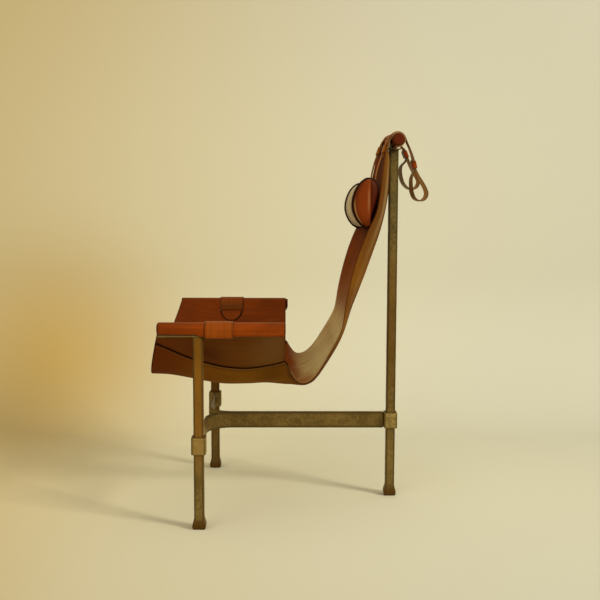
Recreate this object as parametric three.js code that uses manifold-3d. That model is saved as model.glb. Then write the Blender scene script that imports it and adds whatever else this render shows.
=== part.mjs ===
// Leather sling lounge chair on a forged three-legged iron frame.
// Millimetres, +Z up. The sitter faces -Y, and the sitter's left hand is at +X.
import * as THREE from "three";
import { mergeVertices } from "three/addons/utils/BufferGeometryUtils.js";
import Module from "manifold-3d";

const wasm = await Module();
wasm.setup();

// Clearances
const seatGap = 0.3; // between pieces that touch
const lapGap = 1.1; // between the two leathers of a lapped seam
const wrapGap = 0.6; // between a dowel and the leather wrapped round it
const bandGap = 0.4; // between an arm band and the leather under it
const cutOverrun = 1; // how far a cutter runs past the face it opens

// Iron frame
const barSize = 28; // square bar of the legs and the post
const footSize = 38; // upset foot, across its flat sole
const footHeight = 36;
const legSpacing = 640; // between the axes of the two front legs
const wheelbase = 576; // from the leg row back to the post
const collarSize = 41;
const collarHeight = 50;
const collarCentreHeight = 243;
const flatHeight = 50.8; // flat bar of the stretcher, on edge
const flatThickness = 6.4;
const bendRadius = 80; // stretcher bar, on its centre line
const armPlateWidth = 32;
const armPlateThickness = 4.8;
const armPlateTop = 559.4;
const crossbarPlateWidth = 38;
const crossbarPlateLength = 64;
const crossbarPlateThickness = 3.2;
const crossbarPlateTop = 1090.4;

// Wooden dowels
const armDowelRadius = 15.5;
const armDowelLength = 361;
const armDowelFrontOverhang = 110; // dowel front, ahead of the leg axis
const armDowelSlips = { left: 5, right: 0 }; // each dowel further forward than that
const armPlateInset = 3; // plate end, inside the dowel end
const crossbarRadius = 18;
const crossbarLength = 302;
const dowelChamfer = 1.5;
const dowelSides = 28;

// Wood screws
const screwRadius = 2.4;
const screwHeadRadius = 5;
const screwHeadHeight = 3;
const screwLength = 24; // from under the head
const screwTip = 5;
const screwClearance = 0.3;
const screwSides = 10;
const armScrewInset = 28; // from an end of the arm plate, or from the arm band
const crossbarScrewSpacing = 40;

// Sling leather
const leather = 3;
const seatCentreLength = 413; // lip to the end of the seat, on the centre line
const lipBulge = 57; // lip at the centre, ahead of the wing corner on the rail
const seamBulge = 17; // lip at the seam, ahead of the wing corner on the rail
const wingFrontOverhang = 112; // wing corner on the rail, ahead of the leg axis
const hammockDepth = 209.5; // rail axis down to the lowest leather
const seamLap = 20;
const flapDrop = 19.5; // outer flap, below the rail axis
const flapTrim = 5; // the flap is cut shorter in front of the leg
const slingHalfWidth = 260;
const slingTopHalfWidth = 130;
const wrapEndAngle = -112; // the wrap ends just past the underside of the dowel

// Seat rows: place along the seat, drop of the leather, and half width at the seam
const seatRowShares = [
  [0, 0.838, 0.981],
  [0.123, 0.85, 0.885],
  [0.246, 0.89, 0.8],
  [0.369, 0.938, 0.752],
  [0.517, 0.986, 0.715],
  [0.714, 0.989, 0.69],
  [0.874, 0.977, 0.73],
  [1, 1, 0.8],
];
// Back rows: centre line (reach, height), edge line (reach, height) and half width
const backRowShares = [
  [0.07, 0.001, 0.044, 0.108, 0.85],
  [0.145, 0.005, 0.095, 0.077, 0.935],
  [0.215, 0.016, 0.145, 0.067, 1.005],
  [0.278, 0.034, 0.202, 0.072, 1.035],
  [0.341, 0.063, 0.26, 0.091, 1.04],
  [0.405, 0.102, 0.323, 0.125, 1.015],
  [0.465, 0.141, 0.402, 0.179, 0.99],
  [0.519, 0.182, 0.474, 0.231, 0.965],
  [0.563, 0.224, 0.519, 0.273, 0.94],
  [0.601, 0.271, 0.537, 0.309, 0.92],
  [0.645, 0.326, 0.553, 0.358, 0.9],
  [0.705, 0.387, 0.576, 0.411, 0.885],
  [0.772, 0.458, 0.612, 0.476, 0.87],
  [0.841, 0.541, 0.67, 0.559, 0.865],
  [0.908, 0.625, 0.745, 0.639, 0.86],
  [0.958, 0.709, 0.835, 0.723, 0.82],
  [0.99, 0.789, 0.872, 0.8, 0.735],
  [1, 0.87, 0.9, 0.874, 0.642],
  [1, 0.931, 0.925, 0.932, 0.565],
];
const topEdgeLeadShares = [0.62, 0.37, 0.24]; // edge ahead of the centre, of the dowel radius
const wrapStartAngle = 160;
const wrapSteps = 14;
const acrossShares = [0, 0.28, 0.52, 0.72, 0.87, 1];

// Arm bands
const bandWidth = 79;
const bandCentreBehindLeg = 60;
const bandTabLength = 44; // half-round tab, below the slot
const slotHeight = 11;
const slotSpare = 1.5; // slot wider than the band, at each end
const slotDrop = 19.4; // slot, below the rail axis
const bandCornerRadius = 3.5;
const tabLengthShares = [1, 0.98, 0.92, 0.8, 0.6, 0.35]; // rows of the tab, from its tip
const tabWidthShares = [0.16, 0.35, 0.6, 0.82, 0.96, 1];

// Headrest
const headrestLength = 366; // pad between the two pipings
const headrestHeight = 144;
const headrestDepth = 71;
const padRestShare = 0.86; // sling edge that the pad lies on, along the reach of the back
const padBulgeShare = 0.572; // pad centre, ahead of that edge, of the pad depth
const headrestCentreBelow = 193; // pad centre, below the crossbar axis
const headrestTilt = 0.037; // rise of the pad towards the sitter's left
const capDepth = 18;
const capRidgeShare = 0.173; // ridge of the cap, behind the pad centre, of the pad depth
const capTurnShare = 0.94; // quarter turn that the dome goes through
const capSinkShare = 0.12; // ends of the ridge, drawn in towards its middle
const pipingWidth = 4;
const pipingStand = 2.5;
const pipingInnerShare = 0.72; // hole of the flat welt, of the pad outline
const backPanelThickness = 2;
const panelStartShare = 0.57; // lower edge of the back panel, round the pad outline
const padCrown = 1.5;
// Pad section, from the top round the front: depth and height about the pad centre
const padOutlineShares = [
  [0.09, 0.5],
  [-0.13, 0.44],
  [-0.32, 0.33],
  [-0.45, 0.19],
  [-0.52, 0.045],
  [-0.52, -0.1],
  [-0.44, -0.235],
  [-0.29, -0.365],
  [-0.09, -0.46],
  [0.13, -0.5],
  [0.27, -0.39],
  [0.39, -0.195],
  [0.49, 0.02],
  [0.54, 0.21],
  [0.52, 0.36],
  [0.43, 0.45],
  [0.27, 0.49],
];
const padOutlineSteps = 34;

// Headrest straps and keepers
const strapWidth = 36;
const strapThickness = 3;
const strapSpacing = 192;
const saddleAngle = 60; // each way from the top of the crossbar
const strapSewnShares = [0.7, 0.93]; // stretch of the pad outline that the strap lies on
const strapBendShares = [0.57, 0.62]; // where the strap reaches the pad, about its centre
const strapLean = 19; // degrees, of the straight run in front
const strapRunAhead = 33; // top of the straight run, ahead of the crossbar axis
const strapRunBelow = 12; // top of the straight run, below the crossbar axis
const strapRunLength = 48;
const strapFlankAhead = 28; // strap level with the crossbar axis, ahead of it
const strapEndTurn = 1.2; // gap between a saddle and the strap that goes on from it
const keeperWall = 2.5;
const keeperSpare = 0.4;
const frontKeeperHeight = 27;
const rearKeeperHeight = 22;
const frontKeeperRest = 2; // top of the front keeper, below the top of the straight run
const keeperLead = 4; // straight strap beyond each end of the rear keeper
const strapLayerGap = 0.5;

// Derived places
const railX = legSpacing / 2;
const legY = -wheelbase / 2;
const postY = wheelbase / 2;
const railZ = armPlateTop + seatGap + armDowelRadius;
const wrapRadius = armDowelRadius + wrapGap + leather / 2;
const crossbarZ = crossbarPlateTop + seatGap + leather + wrapGap + crossbarRadius;
const topWrapRadius = crossbarRadius + wrapGap + leather / 2;
const strapRadius = topWrapRadius + leather / 2 + seatGap + strapThickness / 2;
const wingFrontY = legY - wingFrontOverhang;
const seatEndY = wingFrontY - lipBulge + seatCentreLength;
const armDowelFrontY = legY - armDowelFrontOverhang;
const postFaceY = postY - barSize / 2 - seatGap - leather / 2;
const slingReach = postFaceY - seatEndY;
const bandY = legY + bandCentreBehindLeg;
const slotZ = railZ - slotDrop;
const padY = seatEndY + padRestShare * slingReach - padBulgeShare * headrestDepth;
const padZ = crossbarZ - headrestCentreBelow;

const finishes = {
  iron: { color: 0x4a3f22, roughness: 0.55, metalness: 0.8 },
  collar: { color: 0x84703e, roughness: 0.6, metalness: 0.7 },
  wood: { color: 0x4b2413, roughness: 0.5, metalness: 0 },
  steel: { color: 0x77736b, roughness: 0.4, metalness: 0.9 },
  leather: { color: 0x6f3410, roughness: 0.45, metalness: 0 },
  darkLeather: { color: 0x4a1a0c, roughness: 0.45, metalness: 0 },
  piping: { color: 0x2a120a, roughness: 0.5, metalness: 0 },
  canvas: { color: 0xb59c6c, roughness: 0.9, metalness: 0 },
};

const chair = new THREE.Group();

function addMesh(name, geometry, finish) {
  const mesh = new THREE.Mesh(geometry, new THREE.MeshStandardMaterial(finishes[finish]));
  mesh.name = name;
  chair.add(mesh);
  return mesh;
}

function lerp(from, to, share) {
  return from + (to - from) * share;
}

function radians(degrees) {
  return (degrees * Math.PI) / 180;
}

// A solid of manifold-3d from a closed geometry.
function solidFrom(geometry) {
  const bare = geometry.clone();
  bare.deleteAttribute("normal");
  bare.deleteAttribute("uv");
  const merged = mergeVertices(bare);
  const vertProperties = new Float32Array(merged.attributes.position.array);
  const triVerts = new Uint32Array(merged.index.array);
  return new wasm.Manifold(new wasm.Mesh({ numProp: 3, vertProperties, triVerts }));
}

// The geometry with the cutters taken away.
function cutAway(geometry, cutters) {
  let solid = solidFrom(geometry);
  for (const cutter of cutters) {
    solid = solid.subtract(solidFrom(cutter));
  }
  const mesh = solid.getMesh();
  const result = new THREE.BufferGeometry();
  result.setAttribute("position", new THREE.BufferAttribute(mesh.vertProperties, 3));
  result.setIndex(new THREE.BufferAttribute(mesh.triVerts, 1));
  result.computeVertexNormals();
  return result;
}

function geometryFrom(points, faces) {
  const geometry = new THREE.BufferGeometry();
  geometry.setFromPoints(points);
  geometry.setIndex(faces);
  geometry.computeVertexNormals();
  return geometry;
}

// A sheet with a thickness, from rows of points on its middle surface.
function sheetGeometry(rows, thickness) {
  const lastRow = rows.length - 1;
  const lastColumn = rows[0].length - 1;
  const points = [];
  for (const side of [1, -1]) {
    rows.forEach((row, i) => {
      row.forEach((point, j) => {
        const along = rows[Math.min(i + 1, lastRow)][j].clone();
        along.sub(rows[Math.max(i - 1, 0)][j]);
        const across = row[Math.min(j + 1, lastColumn)].clone();
        across.sub(row[Math.max(j - 1, 0)]);
        const normal = along.cross(across).normalize();
        points.push(point.clone().addScaledVector(normal, (side * thickness) / 2));
      });
    });
  }
  const columns = lastColumn + 1;
  const top = (i, j) => i * columns + j;
  const bottom = (i, j) => rows.length * columns + i * columns + j;
  const faces = [];
  const quad = (a, b, c, d) => faces.push(a, b, c, a, c, d);
  for (let i = 0; i < lastRow; i += 1) {
    for (let j = 0; j < lastColumn; j += 1) {
      quad(top(i, j), top(i + 1, j), top(i + 1, j + 1), top(i, j + 1));
      quad(bottom(i, j), bottom(i, j + 1), bottom(i + 1, j + 1), bottom(i + 1, j));
    }
    quad(bottom(i, 0), bottom(i + 1, 0), top(i + 1, 0), top(i, 0));
    const j = lastColumn;
    quad(top(i, j), top(i + 1, j), bottom(i + 1, j), bottom(i, j));
  }
  for (let j = 0; j < lastColumn; j += 1) {
    quad(bottom(0, j), top(0, j), top(0, j + 1), bottom(0, j + 1));
    const i = lastRow;
    quad(bottom(i, j), bottom(i, j + 1), top(i, j + 1), top(i, j));
  }
  return geometryFrom(points, faces);
}

// A solid through rings of points, each counter-clockwise seen from where the rings go.
function loftGeometry(rings) {
  const count = rings[0].length;
  const points = rings.flat();
  const faces = [];
  for (let i = 0; i < rings.length - 1; i += 1) {
    for (let k = 0; k < count; k += 1) {
      const next = (k + 1) % count;
      const a = i * count + k;
      const b = i * count + next;
      faces.push(a, b, b + count, a, b + count, a + count);
    }
  }
  for (const end of [0, rings.length - 1]) {
    const centre = new THREE.Vector3();
    rings[end].forEach((point) => centre.addScaledVector(point, 1 / count));
    points.push(centre);
    for (let k = 0; k < count; k += 1) {
      const a = end * count + k;
      const b = end * count + ((k + 1) % count);
      if (end === 0) faces.push(points.length - 1, b, a);
      else faces.push(points.length - 1, a, b);
    }
  }
  return geometryFrom(points, faces);
}

// Turns a shape drawn in (y, z) and extruded to one side into its place across X.
function acrossX(geometry, x) {
  const basis = new THREE.Matrix4().makeBasis(
    new THREE.Vector3(0, 1, 0),
    new THREE.Vector3(0, 0, 1),
    new THREE.Vector3(1, 0, 0),
  );
  geometry.applyMatrix4(basis);
  geometry.translate(x, 0, 0);
  return geometry;
}

// A round rod along +Z from the origin, with chamfered ends.
function rodGeometry(radius, length) {
  const profile = [
    new THREE.Vector2(0, 0),
    new THREE.Vector2(radius - dowelChamfer, 0),
    new THREE.Vector2(radius, dowelChamfer),
    new THREE.Vector2(radius, length - dowelChamfer),
    new THREE.Vector2(radius - dowelChamfer, length),
    new THREE.Vector2(0, length),
  ];
  const geometry = new THREE.LatheGeometry(profile, dowelSides);
  geometry.rotateX(Math.PI / 2);
  return geometry;
}

function boxGeometry(sizeX, sizeY, sizeZ, x, y, z) {
  const geometry = new THREE.BoxGeometry(sizeX, sizeY, sizeZ);
  geometry.translate(x, y, z);
  return geometry;
}

// A square upright of the frame, upset to a wider foot.
function makeUpright(name, x, y, height) {
  const corner = Math.SQRT1_2;
  const profile = [
    new THREE.Vector2(0, 0),
    new THREE.Vector2(footSize * corner, 0),
    new THREE.Vector2(barSize * corner, footHeight),
    new THREE.Vector2(barSize * corner, height),
    new THREE.Vector2(0, height),
  ];
  const geometry = new THREE.LatheGeometry(profile, 4, Math.PI / 4);
  geometry.rotateX(Math.PI / 2);
  const mesh = addMesh(name, geometry, "iron");
  mesh.position.set(x, y, 0);
}

// A square sleeve round an upright.
function makeCollar(name, x, y) {
  const outer = collarSize / 2;
  const inner = barSize / 2 + seatGap;
  const shape = new THREE.Shape();
  shape.moveTo(-outer, -outer);
  shape.lineTo(outer, -outer);
  shape.lineTo(outer, outer);
  shape.lineTo(-outer, outer);
  const hole = new THREE.Path();
  hole.moveTo(-inner, -inner);
  hole.lineTo(-inner, inner);
  hole.lineTo(inner, inner);
  hole.lineTo(inner, -inner);
  shape.holes.push(hole);
  const settings = { depth: collarHeight, bevelEnabled: false };
  const mesh = addMesh(name, new THREE.ExtrudeGeometry(shape, settings), "collar");
  mesh.position.set(x, y, collarCentreHeight - collarHeight / 2);
}

// One flat bar of the stretcher: forward from the post collar, bent out to a leg collar.
function makeStretcherBar(name, side) {
  const innerX = seatGap / 2;
  const outerX = innerX + flatThickness;
  const middleX = innerX + flatThickness / 2;
  const rearY = postY - collarSize / 2 - seatGap;
  const endX = railX - collarSize / 2 - seatGap;
  const centreX = middleX + bendRadius;
  const centreY = legY + bendRadius;
  const tight = bendRadius - flatThickness / 2;
  const wide = bendRadius + flatThickness / 2;
  const shape = new THREE.Shape();
  shape.moveTo(outerX, rearY);
  shape.lineTo(innerX, rearY);
  shape.lineTo(innerX, centreY);
  shape.absarc(centreX, centreY, wide, Math.PI, 1.5 * Math.PI, false);
  shape.lineTo(endX, centreY - wide);
  shape.lineTo(endX, centreY - tight);
  shape.absarc(centreX, centreY, tight, 1.5 * Math.PI, Math.PI, true);
  const settings = { depth: flatHeight, bevelEnabled: false, curveSegments: 10 };
  const geometry = new THREE.ExtrudeGeometry(shape, settings);
  if (side < 0) geometry.rotateY(Math.PI);
  const mesh = addMesh(name, geometry, "iron");
  const lift = side < 0 ? flatHeight / 2 : -flatHeight / 2;
  mesh.position.set(0, 0, collarCentreHeight + lift);
}

// A screw pointing up from the underside of its plate.
function screwGeometry() {
  const profile = [
    new THREE.Vector2(0, -screwHeadHeight),
    new THREE.Vector2(screwHeadRadius * Math.SQRT1_2, -screwHeadHeight),
    new THREE.Vector2(screwHeadRadius, -screwHeadHeight / 2),
    new THREE.Vector2(screwHeadRadius, 0),
    new THREE.Vector2(screwRadius, 0),
    new THREE.Vector2(screwRadius, screwLength - screwTip),
    new THREE.Vector2(0, screwLength),
  ];
  const geometry = new THREE.LatheGeometry(profile, screwSides);
  geometry.rotateX(Math.PI / 2);
  return geometry;
}

// The hole that a screw at (x, y, z) needs, from under its plate to past its tip.
function screwHole(x, y, z) {
  const length = screwLength + 2 * cutOverrun;
  const geometry = new THREE.CylinderGeometry(
    screwRadius + screwClearance,
    screwRadius + screwClearance,
    length,
    screwSides,
  );
  geometry.rotateX(Math.PI / 2);
  geometry.translate(x, y, z + length / 2 - cutOverrun);
  return geometry;
}

function makeScrew(name, x, y, z) {
  const mesh = addMesh(name, screwGeometry(), "steel");
  mesh.position.set(x, y, z - seatGap);
}

// Arm rail: a flat plate on the leg and a dowel screwed down on it.
function makeArmRail(sideName, side) {
  const x = side * railX;
  const plateLength = armDowelLength - 2 * armPlateInset;
  const plateBottom = armPlateTop - armPlateThickness;
  const dowelFrontY = armDowelFrontY - armDowelSlips[sideName];
  const frontY = dowelFrontY + armPlateInset;
  const places = [
    frontY + armScrewInset,
    bandY + bandWidth / 2 + armScrewInset,
    frontY + plateLength - armScrewInset,
  ];
  const holes = places.map((y) => screwHole(x, y, plateBottom));
  const plateY = frontY + plateLength / 2;
  const plateZ = armPlateTop - armPlateThickness / 2;
  const plate = boxGeometry(armPlateWidth, plateLength, armPlateThickness, x, plateY, plateZ);
  addMesh("arm_plate_" + sideName, cutAway(plate, holes), "iron");
  const dowel = rodGeometry(armDowelRadius, armDowelLength);
  dowel.rotateX(-Math.PI / 2);
  dowel.translate(x, dowelFrontY, railZ);
  addMesh("arm_dowel_" + sideName, cutAway(dowel, holes), "wood");
  places.forEach((y, i) => makeScrew(`arm_screw_${sideName}_${i + 1}`, x, y, plateBottom));
}

// Crossbar: a plate on the post and a dowel screwed down on it through the sling.
function crossbarHoles() {
  const bottom = crossbarPlateTop - crossbarPlateThickness;
  return [-1, 1].map((side) => screwHole((side * crossbarScrewSpacing) / 2, postY, bottom));
}

function makeCrossbar() {
  const bottom = crossbarPlateTop - crossbarPlateThickness;
  const plate = boxGeometry(
    crossbarPlateLength,
    crossbarPlateWidth,
    crossbarPlateThickness,
    0,
    postY,
    bottom + crossbarPlateThickness / 2,
  );
  addMesh("crossbar_plate", cutAway(plate, crossbarHoles()), "iron");
  const dowel = rodGeometry(crossbarRadius, crossbarLength);
  dowel.rotateY(Math.PI / 2);
  dowel.translate(-crossbarLength / 2, postY, crossbarZ);
  addMesh("crossbar_dowel", cutAway(dowel, crossbarHoles()), "wood");
  makeScrew("crossbar_screw_left", crossbarScrewSpacing / 2, postY, bottom);
  makeScrew("crossbar_screw_right", -crossbarScrewSpacing / 2, postY, bottom);
}

// Section of the wing leather at one seat row: a hanging parabola that meets the rail wrap
// tangentially. Returns its lowest height, its factor and the place where it meets the wrap.
function hammockSection(dropShare) {
  const low = railZ - dropShare * hammockDepth;
  let angle = Math.PI / 4;
  let factor = 0;
  for (let pass = 0; pass < 30; pass += 1) {
    const x = railX - wrapRadius * Math.sin(angle);
    const z = railZ + wrapRadius * Math.cos(angle);
    factor = (z - low) / x ** 2;
    angle = Math.atan(2 * factor * x);
  }
  return { low, factor, angle, meetX: railX - wrapRadius * Math.sin(angle) };
}

// Place along Y of the leather at a seat row, x out from the middle.
function seatRowY(rowShare, seamX, meetX, x) {
  const seamY = wingFrontY - seamBulge;
  const centreY = wingFrontY - lipBulge;
  const inner = lerp(centreY, seamY, (x / seamX) ** 2);
  const outer = lerp(seamY, wingFrontY, Math.min((x - seamX) / (meetX - seamX), 1));
  return lerp(x < seamX ? inner : outer, seatEndY, rowShare);
}

// Point on the seat leather, stood off from the wing's middle surface.
function seatPoint(rowShares, x, offset) {
  const [rowShare, dropShare, widthShare] = rowShares;
  const section = hammockSection(dropShare);
  const seamX = widthShare * slingHalfWidth;
  const slope = Math.atan(2 * section.factor * x);
  return new THREE.Vector3(
    x - offset * Math.sin(slope),
    seatRowY(rowShare, seamX, section.meetX, Math.abs(x)),
    section.low + section.factor * x ** 2 + offset * Math.cos(slope),
  );
}

const columnShares = [...acrossShares.slice(1).reverse().map((share) => -share), ...acrossShares];

// Row of sling points from the centre line to the two edges, on a parabola.
function parabolaRow(centre, edge, halfWidth) {
  return columnShares.map((share) => {
    return new THREE.Vector3(
      share * halfWidth,
      lerp(centre[0], edge[0], share ** 2),
      lerp(centre[1], edge[1], share ** 2),
    );
  });
}

// Place [y, z] at an angle and a distance round the crossbar axis.
function onCrossbar(degrees, radius) {
  return [
    postY + radius * Math.cos(radians(degrees)),
    crossbarZ + radius * Math.sin(radians(degrees)),
  ];
}

// Main panel: seat between the seams, waist, back, and the wrap round the crossbar.
function makeSeatBack() {
  const seatOffset = -leather - lapGap;
  const rows = seatRowShares.map((row) => {
    return columnShares.map((share) => seatPoint(row, share * row[2] * slingHalfWidth, seatOffset));
  });
  const lowest = railZ - hammockDepth + seatOffset;
  const rise = crossbarZ - lowest;
  for (const [centreY, centreZ, edgeY, edgeZ, width] of backRowShares) {
    const centre = [seatEndY + centreY * slingReach, lowest + centreZ * rise];
    const edge = [seatEndY + edgeY * slingReach, lowest + edgeZ * rise];
    rows.push(parabolaRow(centre, edge, width * slingHalfWidth));
  }
  const plateFaceY = postY - crossbarPlateWidth / 2 - seatGap - leather / 2;
  const plateBottom = crossbarPlateTop - crossbarPlateThickness;
  const topRows = [
    [plateFaceY, plateBottom],
    [plateFaceY, crossbarPlateTop + leather],
    [postY - topWrapRadius, crossbarZ],
  ];
  topRows.forEach(([y, z], i) => {
    const edge = [y - topEdgeLeadShares[i] * crossbarRadius, z];
    rows.push(parabolaRow([y, z], edge, slingTopHalfWidth));
  });
  for (let k = 0; k <= wrapSteps; k += 1) {
    const place = onCrossbar(lerp(wrapStartAngle, wrapEndAngle, k / wrapSteps), topWrapRadius);
    rows.push(parabolaRow(place, place, slingTopHalfWidth));
  }
  addMesh("sling_seat_back", cutAway(sheetGeometry(rows, leather), crossbarHoles()), "leather");
}

// Section of the wing leather at a place along the arm rail.
function sectionAt(y) {
  const along = (y - wingFrontY) / (seatEndY - wingFrontY);
  const next = seatRowShares.findIndex((row) => row[0] > along);
  const [before, after] = [seatRowShares[next - 1], seatRowShares[next]];
  const share = (along - before[0]) / (after[0] - before[0]);
  return hammockSection(lerp(before[1], after[1], share));
}

// Place [x, z] on a wing section near its slot: up along the leather, in towards the sitter.
function atSlot(section, up, inward) {
  const slotX = Math.sqrt((slotZ - section.low) / section.factor);
  const slotSlope = Math.atan(2 * section.factor * slotX);
  const x = slotX + up * Math.cos(slotSlope);
  const slope = Math.atan(2 * section.factor * x);
  const z = section.low + section.factor * x ** 2;
  return [x - inward * Math.sin(slope), z + inward * Math.cos(slope), slotSlope];
}

// Wing: from under the seam lap up to the rail, over the dowel and down to the outer flap.
function makeWing(sideName, side) {
  const lapSteps = 2;
  const faceSteps = 6;
  const arcSteps = 8;
  const rows = seatRowShares.map((row) => {
    const section = hammockSection(row[1]);
    const seamX = row[2] * slingHalfWidth;
    const seamSlope = Math.atan(2 * section.factor * seamX);
    const lowX = seamX - seamLap * Math.cos(seamSlope);
    const points = [];
    for (let k = 0; k < lapSteps; k += 1) {
      points.push(seatPoint(row, lerp(lowX, seamX, k / lapSteps), 0));
    }
    for (let k = 0; k < faceSteps; k += 1) {
      points.push(seatPoint(row, lerp(seamX, section.meetX, k / faceSteps), 0));
    }
    const railY = lerp(wingFrontY, seatEndY, row[0]);
    const first = section.angle + Math.PI / 2;
    for (let k = 0; k <= arcSteps; k += 1) {
      const angle = lerp(first, 0, k / arcSteps);
      const x = railX + wrapRadius * Math.cos(angle);
      points.push(new THREE.Vector3(x, railY, railZ + wrapRadius * Math.sin(angle)));
    }
    const trim = railY < legY ? flapTrim : 0;
    const flapZ = railZ - flapDrop + trim;
    points.push(new THREE.Vector3(railX + wrapRadius, railY, flapZ));
    if (side > 0) return points;
    points.forEach((point) => point.setX(-point.x));
    return points.reverse();
  });
  const [slotX, , slotSlope] = atSlot(sectionAt(bandY), 0, 0);
  const slot = new THREE.BoxGeometry(slotHeight, bandWidth + 2 * slotSpare, leather * 4);
  slot.rotateY(-side * slotSlope);
  slot.translate(side * slotX, bandY, slotZ);
  addMesh("sling_wing_" + sideName, cutAway(sheetGeometry(rows, leather), [slot]), "leather");
}

// Section path of an arm band: from the tab's tip through the slot, under the plate, up and
// over the rail, and down to the slot again, where it tucks in.
function bandPath(section) {
  const half = leather / 2;
  const stand = leather + bandGap;
  const layer = leather / 2 + seatGap;
  const outerX = railX + wrapRadius + stand;
  const underZ = armPlateTop - armPlateThickness - bandGap - half;
  const path = tabLengthShares.map((share) => atSlot(section, -share * bandTabLength, stand));
  path.push(
    atSlot(section, -layer - leather, stand),
    atSlot(section, -layer - half, stand - half / 2),
    atSlot(section, -layer, half / 2),
    atSlot(section, -layer, -half * 1.5),
    [railX - armPlateWidth / 2 - leather, underZ - half / 2],
    [railX - armPlateWidth / 2, underZ],
    [outerX - bandCornerRadius, underZ],
    [outerX - bandCornerRadius * 0.3, underZ + bandCornerRadius * 0.3],
    [outerX, underZ + bandCornerRadius],
  );
  const last = section.angle + Math.PI / 2;
  const steps = 10;
  for (let k = 0; k <= steps; k += 1) {
    const angle = lerp(0, last, k / steps);
    const radius = wrapRadius + stand;
    path.push([railX + radius * Math.cos(angle), railZ + radius * Math.sin(angle)]);
  }
  path.push(
    atSlot(section, layer + leather * 2, stand),
    atSlot(section, layer + leather, stand),
    atSlot(section, layer + half, stand - half / 2),
    atSlot(section, layer, half / 2),
    atSlot(section, layer, -half * 1.5),
  );
  return path;
}

function makeBand(sideName, side) {
  const edges = [-1, 1].map((end) => {
    const path = bandPath(sectionAt(bandY + (end * bandWidth) / 2));
    return path.map(([x, z], i) => {
      const share = i < tabWidthShares.length ? tabWidthShares[i] : 1;
      return new THREE.Vector3(side * x, bandY + (end * share * bandWidth) / 2, z);
    });
  });
  const rows = edges[0].map((front, i) => {
    return side > 0 ? [front, edges[1][i]] : [edges[1][i], front];
  });
  addMesh("arm_band_" + sideName, sheetGeometry(rows, leather), "leather");
}

// Pad section as a smooth closed ring of [y, z], grown or shrunk square to its outline.
function padRing(grow) {
  const corners = padOutlineShares.map(([depth, height]) => {
    return new THREE.Vector3(depth * headrestDepth, height * headrestHeight, 0);
  });
  const curve = new THREE.CatmullRomCurve3(corners, true);
  const ring = curve.getPoints(padOutlineSteps).slice(0, -1);
  return ring.map((point, i) => {
    const before = ring[(i + ring.length - 1) % ring.length];
    const after = ring[(i + 1) % ring.length];
    const along = after.clone().sub(before).normalize();
    return [padY + point.x + grow * along.y, padZ + point.y - grow * along.x];
  });
}

// The pad hangs a little lower at the sitter's right.
function ringAt(ring, x) {
  return ring.map(([y, z]) => new THREE.Vector3(x, y, z + headrestTilt * x));
}

const padStations = [-1, -0.9, -0.66, -0.33, 0, 0.33, 0.66, 0.9, 1];

// Pad: crowned in the middle and drawn in at its ends.
function makePad() {
  const rings = padStations.map((share) => {
    return ringAt(padRing(-padCrown * share ** 4), (share * headrestLength) / 2);
  });
  addMesh("headrest_pad", loftGeometry(rings), "canvas");
}

// Piping: a flat welt ring sewn between the pad and a cap.
function makePiping(sideName, side) {
  const outline = padRing(pipingStand - padCrown).map(([y, z]) => new THREE.Vector2(y, z));
  const inside = padRing(0).map(([y, z]) => {
    return new THREE.Vector2(lerp(padY, y, pipingInnerShare), lerp(padZ, z, pipingInnerShare));
  });
  const shape = new THREE.Shape(outline);
  shape.holes.push(new THREE.Path(inside));
  const settings = { depth: pipingWidth, bevelEnabled: false };
  const start = headrestLength / 2 + seatGap;
  const x = side > 0 ? start : -start - pipingWidth;
  const geometry = acrossX(new THREE.ExtrudeGeometry(shape, settings), x);
  geometry.translate(0, 0, headrestTilt * (x + pipingWidth / 2));
  addMesh("headrest_piping_" + sideName, geometry, "piping");
}

// Cap: a leather dome over the pad's end, drawn out to an upright ridge.
function makeCap(sideName, side) {
  const start = headrestLength / 2 + 2 * seatGap + pipingWidth;
  const ridgeY = padY + capRidgeShare * headrestDepth;
  const steps = 5;
  const rings = [];
  for (let k = 0; k <= steps; k += 1) {
    const turn = (Math.PI / 2) * (k / steps) * capTurnShare;
    const x = side * (start + capDepth * Math.sin(turn));
    const narrow = Math.cos(turn);
    const lower = 1 - capSinkShare * (1 - narrow);
    const ring = padRing(-padCrown).map(([y, z]) => {
      return [lerp(ridgeY, y, narrow), lerp(padZ, z, lower)];
    });
    rings.push(ringAt(ring, x));
  }
  if (side < 0) rings.reverse();
  addMesh("headrest_cap_" + sideName, loftGeometry(rings), "leather");
}

// Leather panel on the rear of the pad, which carries the straps.
function makeBackPanel() {
  const rows = padStations.map((share) => {
    const grow = seatGap + backPanelThickness / 2 - padCrown * share ** 4;
    const ring = padRing(grow);
    const rear = ring.slice(Math.round(ring.length * panelStartShare), -1);
    return ringAt(rear, share * (headrestLength / 2 - seatGap));
  });
  addMesh("headrest_back_panel", sheetGeometry(rows, backPanelThickness), "darkLeather");
}

// A strap of even width through places [y, z], with its middle at x. A place may add how far
// the strap has taken on the pad's tilt there, from 0 to 1.
function strapGeometry(path, x) {
  const rows = path.map(([y, z, tilted = 0]) => {
    return [x - strapWidth / 2, x + strapWidth / 2].map((edgeX) => {
      return new THREE.Vector3(edgeX, y, z + tilted * headrestTilt * edgeX);
    });
  });
  return sheetGeometry(rows, strapThickness);
}

// Places [y, z] spaced evenly on a smooth line through some given ones.
function smoothPath(places, count) {
  const curve = new THREE.CatmullRomCurve3(
    places.map(([y, z]) => new THREE.Vector3(y, z, 0)),
    false,
    "centripetal",
  );
  return curve.getSpacedPoints(count).map((point) => [point.x, point.y]);
}

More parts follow.
